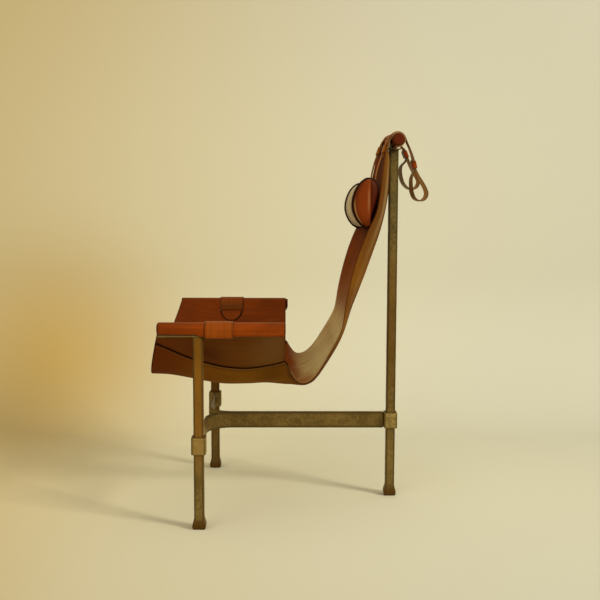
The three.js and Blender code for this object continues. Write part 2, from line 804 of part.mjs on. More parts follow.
// Saddle: the stretch of a strap that lies over the crossbar.
function makeSaddle(sideName, side) {
  const path = [];
  const steps = 12;
  for (let k = 0; k <= steps; k += 1) {
    path.push(onCrossbar(lerp(90 + saddleAngle, 90 - saddleAngle, k / steps), strapRadius));
  }
  const geometry = strapGeometry(path, (side * strapSpacing) / 2);
  addMesh("strap_saddle_" + sideName, geometry, "darkLeather");
}

// The line of a strap in front of the crossbar: a straight stretch for the keeper, then
// down to the top of the headrest and along its back panel.
function alongRun(distance) {
  return [
    postY - strapRunAhead - distance * Math.sin(radians(strapLean)),
    crossbarZ - strapRunBelow - distance * Math.cos(radians(strapLean)),
  ];
}

function makeHeadrestStrap(sideName, side) {
  const startAngle = 90 + saddleAngle + strapEndTurn;
  const begin = [0, 5].map((turns) => onCrossbar(startAngle + turns * strapEndTurn, strapRadius));
  const ring = padRing(2 * seatGap + backPanelThickness + strapThickness / 2);
  const sewn = strapSewnShares.map((share) => Math.round(ring.length * share));
  const [depthShare, heightShare] = strapBendShares;
  const top = [padY + depthShare * headrestDepth, padZ + heightShare * headrestHeight];
  const reach = smoothPath([alongRun(strapRunLength), top], 3);
  const path = [
    begin[0],
    ...smoothPath([begin[1], [postY - strapFlankAhead, crossbarZ], alongRun(0)], 4),
    alongRun(strapRunLength / 2),
    ...reach.map(([y, z], i) => [y, z, i / (reach.length - 1)]),
    ...ring.slice(...sewn).reverse().map(([y, z]) => [y, z, 1]),
  ];
  const geometry = strapGeometry(path, (side * strapSpacing) / 2);
  addMesh("headrest_strap_" + sideName, geometry, "darkLeather");
}

// A tail: from the rear of the crossbar down through its keeper, round a teardrop loop and
// back up into the keeper. All places are from the crossbar axis.
const tails = {
  left: {
    lean: radians(13),
    keeper: [49.5, -73],
    above: [[28, -6.5], [36.5, -25]],
    loop: [
      [60, -100], [72, -121], [84, -142], [89, -160], [82, -175],
      [68, -180], [55, -174], [46, -157], [43, -137], [43, -112],
    ],
  },
  right: {
    lean: radians(22),
    keeper: [46, -36],
    above: [[29, -6], [35, -14]],
    loop: [
      [58, -62], [68, -81], [81, -104], [89, -122], [81, -140],
      [64, -146], [44, -132], [33, -105], [33, -75],
    ],
  },
};

// Place beside a tail's keeper: down along the strap, and out to the rear.
function atKeeper(tail, down, out) {
  return [
    postY + tail.keeper[0] + down * Math.sin(tail.lean) + out * Math.cos(tail.lean),
    crossbarZ + tail.keeper[1] - down * Math.cos(tail.lean) + out * Math.sin(tail.lean),
  ];
}

function makeTail(sideName, side) {
  const tail = tails[sideName];
  const place = ([y, z]) => [postY + y, crossbarZ + z];
  const startAngle = 90 - saddleAngle - strapEndTurn;
  const begin = [0, 5].map((turns) => onCrossbar(startAngle - turns * strapEndTurn, strapRadius));
  const layer = (strapThickness + strapLayerGap) / 2;
  const run = rearKeeperHeight / 2 + keeperLead;
  const path = [
    begin[0],
    ...smoothPath([begin[1], ...tail.above.map(place), atKeeper(tail, -run, layer)], 6),
    atKeeper(tail, 0, layer),
    ...smoothPath(
      [atKeeper(tail, run, layer), ...tail.loop.map(place), atKeeper(tail, run, -layer)],
      30,
    ),
    atKeeper(tail, 0, -layer),
    atKeeper(tail, -run, -layer),
  ];
  const geometry = strapGeometry(path, (side * strapSpacing) / 2);
  addMesh("strap_tail_" + sideName, geometry, "darkLeather");
}

// A keeper: a leather ring round the strap, drawn flat and turned along the strap.
function makeKeeper(name, x, centre, lean, height, inside) {
  const outerX = strapWidth / 2 + keeperSpare + keeperWall;
  const outerY = inside / 2 + keeperSpare + keeperWall;
  const innerX = outerX - keeperWall;
  const innerY = outerY - keeperWall;
  const shape = new THREE.Shape();
  shape.moveTo(-outerX, -outerY);
  shape.lineTo(outerX, -outerY);
  shape.lineTo(outerX, outerY);
  shape.lineTo(-outerX, outerY);
  const hole = new THREE.Path();
  hole.moveTo(-innerX, -innerY);
  hole.lineTo(-innerX, innerY);
  hole.lineTo(innerX, innerY);
  hole.lineTo(innerX, -innerY);
  shape.holes.push(hole);
  const geometry = new THREE.ExtrudeGeometry(shape, { depth: height, bevelEnabled: false });
  geometry.translate(0, 0, -height / 2);
  const mesh = addMesh(name, geometry, "darkLeather");
  mesh.position.set(x, centre[0], centre[1]);
  mesh.rotation.x = lean;
}

const legHeight = armPlateTop - armPlateThickness - seatGap;
const postHeight = crossbarPlateTop - crossbarPlateThickness - seatGap;
const frontInside = strapThickness;
const rearInside = 2 * strapThickness + strapLayerGap;
const frontCentre = alongRun(frontKeeperHeight / 2 + frontKeeperRest);
const frontLean = -radians(strapLean);
const sides = { left: 1, right: -1 };
for (const [sideName, side] of Object.entries(sides)) {
  const strapX = (side * strapSpacing) / 2;
  makeUpright("front_leg_" + sideName, side * railX, legY, legHeight);
  makeCollar("leg_collar_" + sideName, side * railX, legY);
  makeStretcherBar("stretcher_bar_" + sideName, side);
  makeArmRail(sideName, side);
  makeWing(sideName, side);
  makeBand(sideName, side);
  makePiping(sideName, side);
  makeCap(sideName, side);
  makeSaddle(sideName, side);
  makeHeadrestStrap(sideName, side);
  makeTail(sideName, side);
  const frontName = "front_keeper_" + sideName;
  makeKeeper(frontName, strapX, frontCentre, frontLean, frontKeeperHeight, frontInside);
  const rearName = "rear_keeper_" + sideName;
  const tail = tails[sideName];
  const rearCentre = atKeeper(tail, 0, 0);
  makeKeeper(rearName, strapX, rearCentre, tail.lean, rearKeeperHeight, rearInside);
}
makeUpright("rear_post", 0, postY, postHeight);
makeCollar("post_collar", 0, postY);
makeCrossbar();
makeSeatBack();
makePad();
makeBackPanel();

// The origin is on the floor, midway along the whole chair.
const reachBox = new THREE.Box3().setFromObject(chair);
chair.position.y = -(reachBox.min.y + reachBox.max.y) / 2;

export default chair;
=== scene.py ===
"""Leather sling lounge chair on a forged tripod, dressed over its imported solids.

Metres, +Z up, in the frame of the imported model. The sitter faces -Y, left hand at +X.
"""

import itertools
import math

import bpy
import numpy as np
from bpy.props import FloatProperty, FloatVectorProperty, IntProperty, PointerProperty
from mathutils import Matrix, Vector


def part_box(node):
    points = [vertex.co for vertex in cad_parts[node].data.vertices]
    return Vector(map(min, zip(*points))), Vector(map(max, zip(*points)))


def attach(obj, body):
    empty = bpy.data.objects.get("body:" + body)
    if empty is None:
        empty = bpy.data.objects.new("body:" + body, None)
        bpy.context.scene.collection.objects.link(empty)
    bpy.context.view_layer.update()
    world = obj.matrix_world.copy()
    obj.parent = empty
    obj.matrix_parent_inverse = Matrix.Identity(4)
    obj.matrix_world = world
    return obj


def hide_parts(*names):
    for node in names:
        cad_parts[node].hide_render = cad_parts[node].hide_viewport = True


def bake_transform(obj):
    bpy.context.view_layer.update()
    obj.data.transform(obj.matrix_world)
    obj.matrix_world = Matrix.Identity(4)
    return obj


bl_info = {
    "name": "Sling Lounge Chair",
    "version": (1, 0, 0),
    "blender": (4, 5, 0),
    "location": "View3D > Sidebar > Chair",
    "description": "Makes a leather sling lounge chair on a forged tripod",
    "category": "Object",
}

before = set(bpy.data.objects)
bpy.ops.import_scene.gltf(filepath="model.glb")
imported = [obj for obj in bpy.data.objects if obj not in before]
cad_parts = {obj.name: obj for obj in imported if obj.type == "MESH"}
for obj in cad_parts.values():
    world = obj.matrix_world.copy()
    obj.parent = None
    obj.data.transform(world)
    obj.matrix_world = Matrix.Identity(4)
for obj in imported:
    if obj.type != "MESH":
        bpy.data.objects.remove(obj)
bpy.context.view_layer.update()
MM = 0.001
SIDES = {"left": 1, "right": -1}
MIRROR = np.array([-1, 1, 1])
FAR_IN = 20 * MM  # the inset of pieces that have no edge


def middle(node):
    """The middle of a solid's box."""
    low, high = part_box(node)
    return (low + high) / 2


def reach(node):
    """Half the size of a solid's box."""
    low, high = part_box(node)
    return (high - low) / 2


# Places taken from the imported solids
LEG = middle("front_leg_left")
POST = middle("rear_post")
RAIL = middle("arm_dowel_left")
RAIL_R = reach("arm_dowel_left").z
BAR = middle("crossbar_dowel")
BAR_R = reach("crossbar_dowel").z
BAR_HALF = reach("crossbar_dowel").x
COLLAR = middle("leg_collar_left")
PLATE_LOW, PLATE_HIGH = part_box("crossbar_plate")
ARM_PLATE_LOW, ARM_PLATE_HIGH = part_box("arm_plate_left")
PAD_LOW, PAD_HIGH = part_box("headrest_pad")

# Gaps and leather, as in the solids
GAP = 0.3 * MM
LAP_GAP = 1.1 * MM
WRAP_GAP = 0.6 * MM
BAND_GAP = 0.4 * MM
HIDE = 3 * MM
WRAP_R = RAIL_R + WRAP_GAP + HIDE / 2
TOP_WRAP_R = BAR_R + WRAP_GAP + HIDE / 2
STRAP_R = TOP_WRAP_R + HIDE / 2 + GAP + HIDE / 2

# Sling
WING_FRONT = LEG.y - 112 * MM
LIP_BULGE = 57 * MM
SEAM_BULGE = 17 * MM
SEAT_END = WING_FRONT - LIP_BULGE + 413 * MM
HAMMOCK_DEPTH = 209.5 * MM
SEAM_LAP = 20 * MM
FLAP_DROP = 19.5 * MM
FLAP_TRIM = 5 * MM
SLING_HALF = 260 * MM
TOP_HALF = 130 * MM
SEAT_ROWS = (
    (0, 0.838, 0.981),
    (0.123, 0.85, 0.885),
    (0.246, 0.89, 0.8),
    (0.369, 0.938, 0.752),
    (0.517, 0.986, 0.715),
    (0.714, 0.989, 0.69),
    (0.874, 0.977, 0.73),
    (0.96, 0.9927, 0.778),
    (1, 1, 0.8),
)
BACK_ROWS = (
    (0.07, 0.001, 0.044, 0.108, 0.85),
    (0.145, 0.005, 0.095, 0.077, 0.935),
    (0.215, 0.016, 0.145, 0.067, 1.005),
    (0.278, 0.034, 0.202, 0.072, 1.035),
    (0.341, 0.063, 0.26, 0.091, 1.04),
    (0.405, 0.102, 0.323, 0.125, 1.015),
    (0.465, 0.141, 0.402, 0.179, 0.99),
    (0.519, 0.182, 0.474, 0.231, 0.965),
    (0.563, 0.224, 0.519, 0.273, 0.94),
    (0.601, 0.271, 0.537, 0.309, 0.92),
    (0.645, 0.326, 0.553, 0.358, 0.9),
    (0.705, 0.387, 0.576, 0.411, 0.885),
    (0.772, 0.458, 0.612, 0.476, 0.87),
    (0.841, 0.541, 0.67, 0.559, 0.865),
    (0.908, 0.625, 0.745, 0.639, 0.86),
    (0.958, 0.709, 0.835, 0.723, 0.82),
    (0.99, 0.789, 0.872, 0.8, 0.735),
    (1, 0.87, 0.9, 0.874, 0.642),
    (1, 0.931, 0.925, 0.932, 0.565),
)
TOP_EDGE_LEADS = (0.62, 0.37, 0.24)
WRAP_ANGLES = (160, -112)
BACK_FACE = POST.y - 14 * MM - GAP - HIDE / 2
STITCH_LIFT = HIDE / 2 + 0.2 * MM
SEAM_STITCHES = (5 * MM, 12 * MM)
LAP_STITCHES = (8 * MM, 15 * MM)
# Places along the main leather, from its front edge
SEAM_END = 0.43
FREE_EDGE = 0.42
TRIMMED_EDGE = 0.6
HIGHLIT_EDGE = (0.4, 0.455)
TOP_EDGE = 1.24
SEAM_COLUMNS = [3, -4]

# Arm bands
BAND_WIDTH = 79 * MM
BAND_Y = LEG.y + 60 * MM
TAB_LENGTH = 44 * MM
TAB_WIDTH = 74 * MM
SLOT_SPARE = 0.4 * MM
SLOT_Z = RAIL.z - 19.4 * MM
BAND_CORNER = 3.5 * MM
TAB_TURNS = (0.08, 1.38)
TAB_STITCHES = 4.5 * MM

# Headrest
PAD_LENGTH = PAD_HIGH.x - PAD_LOW.x
PAD_DEPTH = 71 * MM
PAD_HEIGHT = 144 * MM
PAD_CROWN = 1.5 * MM
PAD_REST = 0.86
PAD_BULGE = 0.572
PAD_BELOW = 193 * MM
PAD_TILT = 0.037
PIPE_WIDTH = 4 * MM
PIPE_STAND = 2.5 * MM
CAP_DEPTH = 18 * MM
CAP_RIDGE = 0.21
PANEL = 2 * MM
PANEL_STITCHES = 6 * MM
CORD_R = 4.4 * MM
CORD_SIDES = 12
CORD_SINK = 1.2 * MM
PAD_SLACK = 3.4 * MM
PAD_OUTLINE = (
    *((0.09, 0.5), (-0.13, 0.44), (-0.32, 0.33), (-0.45, 0.19), (-0.52, 0.045), (-0.52, -0.1)),
    *((-0.44, -0.235), (-0.29, -0.365), (-0.09, -0.46), (0.13, -0.5), (0.27, -0.39)),
    *((0.39, -0.195), (0.49, 0.02), (0.54, 0.21), (0.52, 0.36), (0.43, 0.45), (0.27, 0.49)),
)
PAD_POINTS = 136
PANEL_START = 0.57

# Straps, keepers and loops. Places are (behind, above) the crossbar axis.
STRAP_X = 96 * MM
STRAP_WIDTH = 36 * MM
KEEPER_WALL = 2.5 * MM
KEEPER_SPARE = 0.4 * MM
FRONT_KEEPER = 27 * MM
REAR_KEEPER = 22 * MM
LAYER = (HIDE + 0.5 * MM) / 2
RUN_LEAN = math.radians(19)
RUN_START = (-33 * MM, -12 * MM)
RUN_LENGTH = 48 * MM
STRAP_TOP = (0.57, 0.62)
STRAP_SEWN = (0.7, 0.93)
TAIL_TWIST = math.radians(11.5)
KEEPER_TWIST = math.radians(4)
TAILS = {
    "left": {
        "turned": (0.18, 0.25, 0.35, 0.45),
        "lean": math.radians(13),
        "keeper": (49.5, -73),
        "above": ((28, -6.5), (36.5, -25)),
        "loop": (
            *((60, -100), (72, -121), (84, -142), (89, -160), (82, -175)),
            *((68, -180), (55, -174), (46, -157), (43, -137), (43, -112)),
        ),
    },
    "right": {
        "turned": (0.1, 0.17, 0.27, 0.37),
        "lean": math.radians(22),
        "keeper": (46, -36),
        "above": ((29, -6), (35, -14)),
        "loop": (
            *((58, -62), (68, -81), (81, -104), (89, -122), (81, -140)),
            *((64, -146), (44, -132), (33, -105), (33, -75)),
        ),
    },
}

# Iron
BAR_SIZE = 28 * MM
FOOT_SIZE = 38 * MM
FOOT_HEIGHT = 36 * MM
COLLAR_SIZE = 41 * MM
COLLAR_HEIGHT = 50 * MM
FLAT_HEIGHT = 50.8 * MM
FLAT_THICKNESS = 6.4 * MM
BEND_R = 80 * MM

# Backdrop: a floor that sweeps up into a wall
SWEEP_X = -0.75
SWEEP_R = 0.6
FLOOR_END = 4.5
WALL_TOP = 5
BACKDROP_HALF = 6

# The backdrop's colour paints light: darker to the left and low on the left as painted shade,
# lighter behind the chair as a painted pool of light.
FLOOR_SHARE = (-1.399, 0.781)  # from the left tint to the right one, along Y
FLOOR_SPOTS = {
    "floor_low": ((0.351, 1.723, -0.316), (0.271, 1.745, 1.571)),
    "floor_glow": ((0.073, 0.113, -0.599), (0.624, 0.454, 0.705)),
}
SPOT_REACH = 1.254

# Lamps: place, target, size, power and colour
LAMPS = {
    "key": ((5.2, 8.6, 5.4), (0, 0, 0.4), 2.6, 860, (1, 0.93, 0.76)),
    "fill": ((5.0, -4.0, 4.2), (0, 0, 0.5), 5.0, 90, (1, 0.92, 0.72)),
}
ROOM_LIGHT = {"Color": (1, 0.93, 0.76, 1), "Strength": 0.62}

# Camera, from the lines of the photograph
FOCAL_PIXELS = 1000
FRAME_PIXELS = 600
CAMERA_AT = Vector((3.1, 0.00546, 0.9672))
CAMERA_TILT = math.radians(6.345)
CAMERA_TURN = math.radians(0.653)
CAMERA_ROLL = math.radians(0.184)


def linear(hex_colour):
    """A web colour as linear red, green and blue."""
    values = [int(hex_colour[i : i + 2], 16) / 255 for i in (0, 2, 4)]
    return tuple(v / 12.92 if v <= 0.04045 else ((v + 0.055) / 1.055) ** 2.4 for v in values)


def colour_property(name, hex_colour, description):
    """A colour that the user can change."""
    return FloatVectorProperty(
        name=name,
        description=description,
        subtype="COLOR",
        min=0,
        max=1,
        default=linear(hex_colour),
    )


class ChairColours(bpy.types.PropertyGroup):
    """Colours of the chair's finishes."""

    leather: colour_property("Leather", "8a3c0c", "Sling leather, grain side")
    # The dark leather colour paints real stains and also painted shade.
    leather_dark: colour_property("Leather, dark", "3f1606", "Handled and stained places")
    # The worn colour paints rubbed places, and also painted sheen and painted highlights.
    worn_and_sheen: colour_property("Leather, worn", "c4ad76", "Rubbed and faded places")
    flesh: colour_property("Flesh side", "6e460f", "Underside of the sling leather")
    wing_flesh: colour_property("Wing flesh side", "5a330c", "Underside of the wings")
    rail: colour_property("Rail leather", "8c3c08", "Leather on the arm rails")
    edge: colour_property("Leather edge", "160a04", "Dyed and burnished edges")
    strap: colour_property("Strap leather", "b56c20", "Headrest straps, grain side")
    strap_flesh: colour_property("Strap flesh side", "a37c46", "Headrest straps, inner side")
    loop: colour_property("Strap tails", "9c7638", "Strap tails, grain side")
    keeper: colour_property("Keeper", "8f3c10", "Keepers")
    cap: colour_property("Cap", "85380e", "Headrest caps")
    # The caps' rear colour is painted shade.
    cap_dark: colour_property("Cap, rear", "3a0a04", "Rear half of the headrest caps")
    canvas: colour_property("Canvas", "d6c18e", "Headrest pad")
    piping: colour_property("Piping", "1c0d08", "Headrest piping")
    iron: colour_property("Iron", "746438", "Forged bars")
    # The rust colour also paints the leather's reflection on the front legs.
    rust: colour_property("Rust", "85560f", "Rust on the bars")
    collar: colour_property("Collars", "9c844c", "Rubbed iron of the collars")
    wood: colour_property("Wood", "5a200c", "Dowels")
    thread: colour_property("Thread", "8a6a3c", "Stitches")
    floor: colour_property("Floor", "c7c6b9", "Floor and backdrop")
    # The left, low-left and middle backdrop colours are painted shade and a painted pool of light.
    floor_left: colour_property("Backdrop, left", "c2b288", "Backdrop on the left")
    floor_low: colour_property("Backdrop, low left", "b08900", "Backdrop low on the left")
    floor_glow: colour_property("Backdrop, middle", "f3f1d7", "Backdrop behind the chair")


def length_property(name, default, description):
    """A length that the user can change."""
    return FloatProperty(name=name, description=description, default=default, unit="LENGTH")


class ChairSizes(bpy.types.PropertyGroup):
    """Sizes of the details that only the visual model has."""

    stitch_spacing: length_property("Stitch spacing", 5.2 * MM, "From one stitch to the next")
    stitch_length: length_property("Stitch length", 3.6 * MM, "Length that shows")
    thread_radius: length_property("Thread radius", 0.45 * MM, "Radius of the thread")
    hammer_depth: length_property("Hammer marks", 0.35 * MM, "Depth of the marks on the bars")
    wrinkle_depth: length_property("Wrinkles", 0.9 * MM, "Depth of the sling's wrinkles")
    sim_frames: IntProperty(
        name="Cloth frames", description="Length of the pad's simulation", default=20, min=1
    )


# Numbers, noise and grids


def lerp(a, b, share):
    return a + (b - a) * share


def ease(share):
    """Smooth step from 0 to 1."""
    share = np.clip(share, 0, 1)
    return share * share * (3 - 2 * share)


def rise(x, start, length):
    """From 0 at a start to 1 a length further on, smoothly."""
    return ease((x - start) / length)


def hill(x, centre, reach):
    """A smooth hill of height 1."""
    return np.exp(-(((x - centre) / reach) ** 2))


def noise(points, cell, seed):
    """Smooth noise from -1 to 1 at each point."""
    p = np.asarray(points, float) / cell + seed * 17.31
    base = np.floor(p).astype(np.int64)
    part = p - base
    part = part * part * (3 - 2 * part)
    total = np.zeros(p.shape[:-1])
    for corner in itertools.product((0, 1), repeat=3):
        c = base + np.array(corner)
        mixed = (c[..., 0] * 73856093) ^ (c[..., 1] * 19349663) ^ (c[..., 2] * 83492791)
        mixed = ((mixed ^ (seed * 40503)) * 1274126177) & 0xFFFFFFFF
        value = ((mixed ^ (mixed >> 15)) & 0xFFFF) / 32767.5 - 1
        weight = np.prod(np.where(corner, part, 1 - part), axis=-1)
        total += value * weight
    return total


def smooth_rows(rows, count, closed=False):
    """Rows of points, spaced evenly on a smooth surface through the given ones."""
    rows = np.asarray(rows, float)
    if closed:
        rows = np.concatenate([rows[-4:], rows, rows[:5]])
    steps = np.linalg.norm(np.diff(rows, axis=0), axis=-1)
    steps = steps.reshape(len(steps), -1).mean(axis=1)
    knots = np.concatenate([[0], np.cumsum(steps)])
    slopes = np.gradient(rows, knots, axis=0)
    first, last = (knots[4], knots[-5]) if closed else (knots[0], knots[-1])
    at = np.linspace(first, last, count, endpoint=not closed)
    i = np.clip(np.searchsorted(knots, at, side="right") - 1, 0, len(rows) - 2)
    shape = (len(at),) + (1,) * (rows.ndim - 1)
    span = (knots[i + 1] - knots[i]).reshape(shape)
    t = (at - knots[i]).reshape(shape) / span
    return (
        rows[i] * (2 * t**3 - 3 * t**2 + 1)
        + slopes[i] * span * (t**3 - 2 * t**2 + t)
        + rows[i + 1] * (3 * t**2 - 2 * t**3)
        + slopes[i + 1] * span * (t**3 - t**2)
    )


def unit(vectors):
    """Vectors of length 1."""
    return vectors / np.maximum(np.linalg.norm(vectors, axis=-1, keepdims=True), 1e-12)


def grid_normals(grid):
    """Normals of a grid of points, on the side where across goes before along."""
    return unit(np.cross(np.gradient(grid, axis=1), np.gradient(grid, axis=0)))


def distances(grid, axis):
    """Mean distance of each row or column of a grid from the first one."""
    steps = np.linalg.norm(np.diff(grid, axis=axis), axis=-1).mean(axis=1 - axis)
    return np.concatenate([[0], np.cumsum(steps)])


def mirrored(points):
    """Points on the other side of the chair, in the order that keeps faces outwards."""
    points = np.array(points, float)
    points[..., 0] *= -1
    return points[:, ::-1]


def on_grid(value, grid):
    """A value for a whole grid, for each row of it or for each point, as one for each point."""
    value = np.asarray(value, float)
    return np.broadcast_to(value[:, None] if value.ndim == 1 else value, grid.shape[:2])


# Meshes


def new_object(name, data):
    """An object with its data, in the scene."""
    made = bpy.data.objects.new(name, data)
    bpy.context.scene.collection.objects.link(made)
    return made


def mesh_piece(name, points, faces, material, fields=None, uv=None):
    """An object from points and faces, with per-point fields and a UV for each point."""
    mesh = bpy.data.meshes.new(name)
    mesh.from_pydata(np.asarray(points, float).tolist(), [], [list(map(int, f)) for f in faces])
    for key, values in (fields or {}).items():
        mesh.attributes.new(key, "FLOAT", "POINT").data.foreach_set(
            "value", np.asarray(values, np.float32).ravel()
        )
    if uv is not None:
        corner = np.zeros(len(mesh.loops), np.int32)
        mesh.loops.foreach_get("vertex_index", corner)
        layer = mesh.uv_layers.new(name="UVMap")
        layer.data.foreach_set("uv", np.asarray(uv, np.float32)[corner].ravel())
    mesh.shade_smooth()
    mesh.materials.append(material)
    return new_object(name, mesh)


RIM = ((0, 0.45), (0.25, 0.8), (0.7, 1))  # distance in and half thickness, of half the sheet


def with_rims(grid, thickness):
    """The grid with lines added close to its edges, and its half thickness at each point."""
    profile = []
    for axis in (0, 1):
        lines = np.moveaxis(grid, axis, 0)
        inward = unit(lines[1] - lines[0])
        outward = unit(lines[-2] - lines[-1])
        head = [lines[0] + inward * (d * thickness / 2) for d, _ in RIM]
        tail = [lines[-1] + outward * (d * thickness / 2) for d, _ in RIM[::-1]]
        grid = np.moveaxis(np.concatenate([head, lines[1:-1], tail]), 0, axis)
        ends = [h for _, h in RIM]
        profile.append(np.array(ends + [1] * (len(lines) - 2) + ends[::-1]))
    return grid, np.minimum.outer(profile[0], profile[1])


def sheet_piece(name, grid, material, fields=None, thickness=HIDE, hole=None, relief=None):
    """A sheet of leather with rounded edges, from the points of its middle surface.

    A field has one value, one for each row or one for each point. hole is (first row, last
    row, first column, last column) of an opening.
    """
    grid = np.asarray(grid, float)
    if relief is not None:
        grid = grid + grid_normals(grid) * relief[..., None]
    extra = len(RIM) - 1
    fields = {k: np.pad(on_grid(v, grid), extra, mode="edge") for k, v in (fields or {}).items()}
    grid, half = with_rims(grid, thickness)
    rows, columns = grid.shape[:2]
    offset = grid_normals(grid) * (half * thickness / 2)[..., None]
    points = np.concatenate([(grid + offset).reshape(-1, 3), (grid - offset).reshape(-1, 3)])
    along, across = distances(grid, 0), distances(grid, 1)
    from_ends, from_sides = (np.minimum(line, line[-1] - line) for line in (along, across))
    keep = np.ones((rows - 1, columns - 1), bool)
    if hole:
        r0, r1, c0, c1 = (value + extra for value in hole)
        keep[r0:r1, c0:c1] = False
    index = np.arange(rows * columns).reshape(rows, columns)
    under = index.size  # the number of the first point underneath
    i, j = np.nonzero(keep)
    a, b, c, d = index[i, j], index[i, j + 1], index[i + 1, j + 1], index[i + 1, j]
    faces = [np.stack([a, b, c, d], 1), np.stack([a, d, c, b], 1) + under]
    walls = [index[0, :], index[:, -1], index[-1, ::-1], index[::-1, 0]]
    if hole:
        walls += [index[r1, c0 : c1 + 1], index[r0 : r1 + 1, c0]]
        walls += [index[r0, c0 : c1 + 1][::-1], index[r0 : r1 + 1, c1][::-1]]
    for line in walls:
        faces.append(np.stack([line[1:], line[:-1], line[:-1] + under, line[1:] + under], 1))
    fields["inset"] = np.minimum.outer(from_ends, from_sides)
    fields = {key: np.tile(value.ravel(), 2) for key, value in fields.items()}
    fields["flesh"] = np.repeat([0.0, 1.0], under)
    uv = np.stack(np.meshgrid(across - across[-1] / 2, along), -1).reshape(-1, 2)
    faces, uv = np.concatenate(faces), np.tile(uv, (2, 1))
    return mesh_piece(name, points, faces, material, fields, uv)


def loft_piece(name, rings, material, fields=None, uv=None, looped=False):
    """A solid through rings, each counter-clockwise seen from where the rings go."""
    rings = np.asarray(rings, float)
    count, size = rings.shape[:2]
    points = rings.reshape(-1, 3)
    index = np.arange(count * size).reshape(count, size)
    upper = np.roll(index, -1, axis=0) if looped else index[1:]
    lower = index if looped else index[:-1]
    corners = [lower, np.roll(lower, -1, axis=1), np.roll(upper, -1, axis=1), upper]
    sides = np.stack(corners, -1).reshape(-1, 4).tolist()
    fields = {key: on_grid(value, rings).ravel() for key, value in (fields or {}).items()}
    if not looped:
        points = np.concatenate([points, rings[[0, -1]].mean(axis=1)])
        fields = {key: np.append(v, [v[0], v[-1]]) for key, v in fields.items()}
        if uv is not None:
            uv = np.concatenate([uv, uv[[0, -1]]])
        follow = np.roll(index, -1, axis=1)
        first, last = count * size, count * size + 1
        sides += np.stack([np.full(size, first), follow[0], index[0]], 1).tolist()
        sides += np.stack([np.full(size, last), index[-1], follow[-1]], 1).tolist()
    return mesh_piece(name, points, sides, material, fields, uv)


def rounded_section(half_a, half_b, radius, steps):
    """A rectangle with rounded corners, counter-clockwise, and how near a corner each point is."""

    def on_corner(quarter, degrees):
        sign_a, sign_b = ((1, 1), (-1, 1), (-1, -1), (1, -1))[quarter % 4]
        a = sign_a * (half_a - radius) + radius * math.cos(math.radians(degrees))
        b = sign_b * (half_b - radius) + radius * math.sin(math.radians(degrees))
        return np.array([a, b])

    points, corner = [], []
    for quarter in range(4):
        arc = [on_corner(quarter, 90 * quarter + turn) for turn in (0, 30, 60, 90)]
        end = on_corner(quarter + 1, 90 * quarter + 90)
        points += arc + [lerp(arc[-1], end, k / steps) for k in range(1, steps)]
        corner += [1] * len(arc) + [0] * (steps - 1)
    return np.array(points), np.array(corner, float)


def square_ring(half, radius, steps, at):
    """A level ring of a square bar round a point, and how near a corner each place is."""
    section, corner = rounded_section(half, half, radius, steps)
    return np.column_stack([section, np.zeros(len(section))]) + np.array(at), corner


def outwards(rings):
    """Directions away from the middle of each ring."""
    return unit(rings - rings.mean(axis=1, keepdims=True))


def hammered(rings, depth, cell, fine_cell, seed):
    """Rings of a bar with hammer marks, pushed in and out from each ring's middle."""
    rings = np.asarray(rings, float)
    marks = 0.6 * noise(rings, cell, seed) + 0.4 * noise(rings, fine_cell, seed + 1)
    return rings + outwards(rings) * (depth * marks)[..., None]


def place(piece, body, slot, *nodes):
    """Rides the piece on its body in place of the solids."""
    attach(piece, body)
    if nodes:
        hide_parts(*nodes)
    return piece


# Node trees


def fill(node, inputs):
    """Sets or links inputs of a node."""
    for key, value in inputs.items():
        value = getattr(value, "socket", value)
        if isinstance(value, bpy.types.NodeSocket):
            node.id_data.links.new(value, node.inputs[key])
        else:
            node.inputs[key].default_value = value


def adjust(thing, **settings):
    """Sets several settings."""
    for key, value in settings.items():
        setattr(thing, key, value)


def add(tree, kind, inputs=None, **settings):
    """A node with its settings, and its inputs set or linked."""
    made = tree.nodes.new(kind)
    adjust(made, **settings)
    fill(made, inputs or {})
    return made


def open_group(name, kind, inputs, outputs):
    """An empty node group with named sockets, and its two end nodes."""
    tree = bpy.data.node_groups.new(name, kind)
    for label, socket_type, default in inputs:
        socket = tree.interface.new_socket(name=label, in_out="INPUT", socket_type=socket_type)
        if default is not None:
            socket.default_value = default
    for label, socket_type in outputs:
        tree.interface.new_socket(name=label, in_out="OUTPUT", socket_type=socket_type)
    return tree, tree.nodes.new("NodeGroupInput"), tree.nodes.new("NodeGroupOutput")


class Value:
    """A value in a node tree. A sum on it becomes a node."""

    def __init__(self, socket):
        self.socket = socket
        self.tree = socket.id_data

    def sum(self, operation, *values):
        """The result of a math node."""
        inputs = dict(enumerate((*values, 0.0, 0.0)[:3]))
        return Value(add(self.tree, "ShaderNodeMath", inputs, operation=operation).outputs[0])

    def __add__(self, other):
        return self.sum("ADD", self, other)

    def __sub__(self, other):
        return self.sum("SUBTRACT", self, other)

    def __rsub__(self, other):
        return self.sum("SUBTRACT", other, self)

    def __mul__(self, other):
        return self.sum("MULTIPLY", self, other)

    def __truediv__(self, other):
        return self.sum("DIVIDE", self, other)

    def __rtruediv__(self, other):
        return self.sum("DIVIDE", other, self)

    def __abs__(self):
        return self.sum("ABSOLUTE", self)

    def sine(self):
        return self.sum("SINE", self)

    def at_least(self, other):
        return self.sum("MAXIMUM", self, other)


def scaled(colour, share):
    """A colour made darker or lighter."""
    return tuple(v * share for v in colour)


def mix(share, a, b):
    """Two colours mixed."""
    a, b = (colour if isinstance(colour, Value) else (*colour, 1) for colour in (a, b))
    made = add(share.tree, "ShaderNodeMix", {0: share, 6: a, 7: b}, data_type="RGBA")
    return Value(made.outputs[2])


def blend_values(share, a, b):
    """Two numbers mixed."""
    made = add(share.tree, "ShaderNodeMix", {0: share, 2: a, 3: b}, data_type="FLOAT")
    return Value(made.outputs[0])


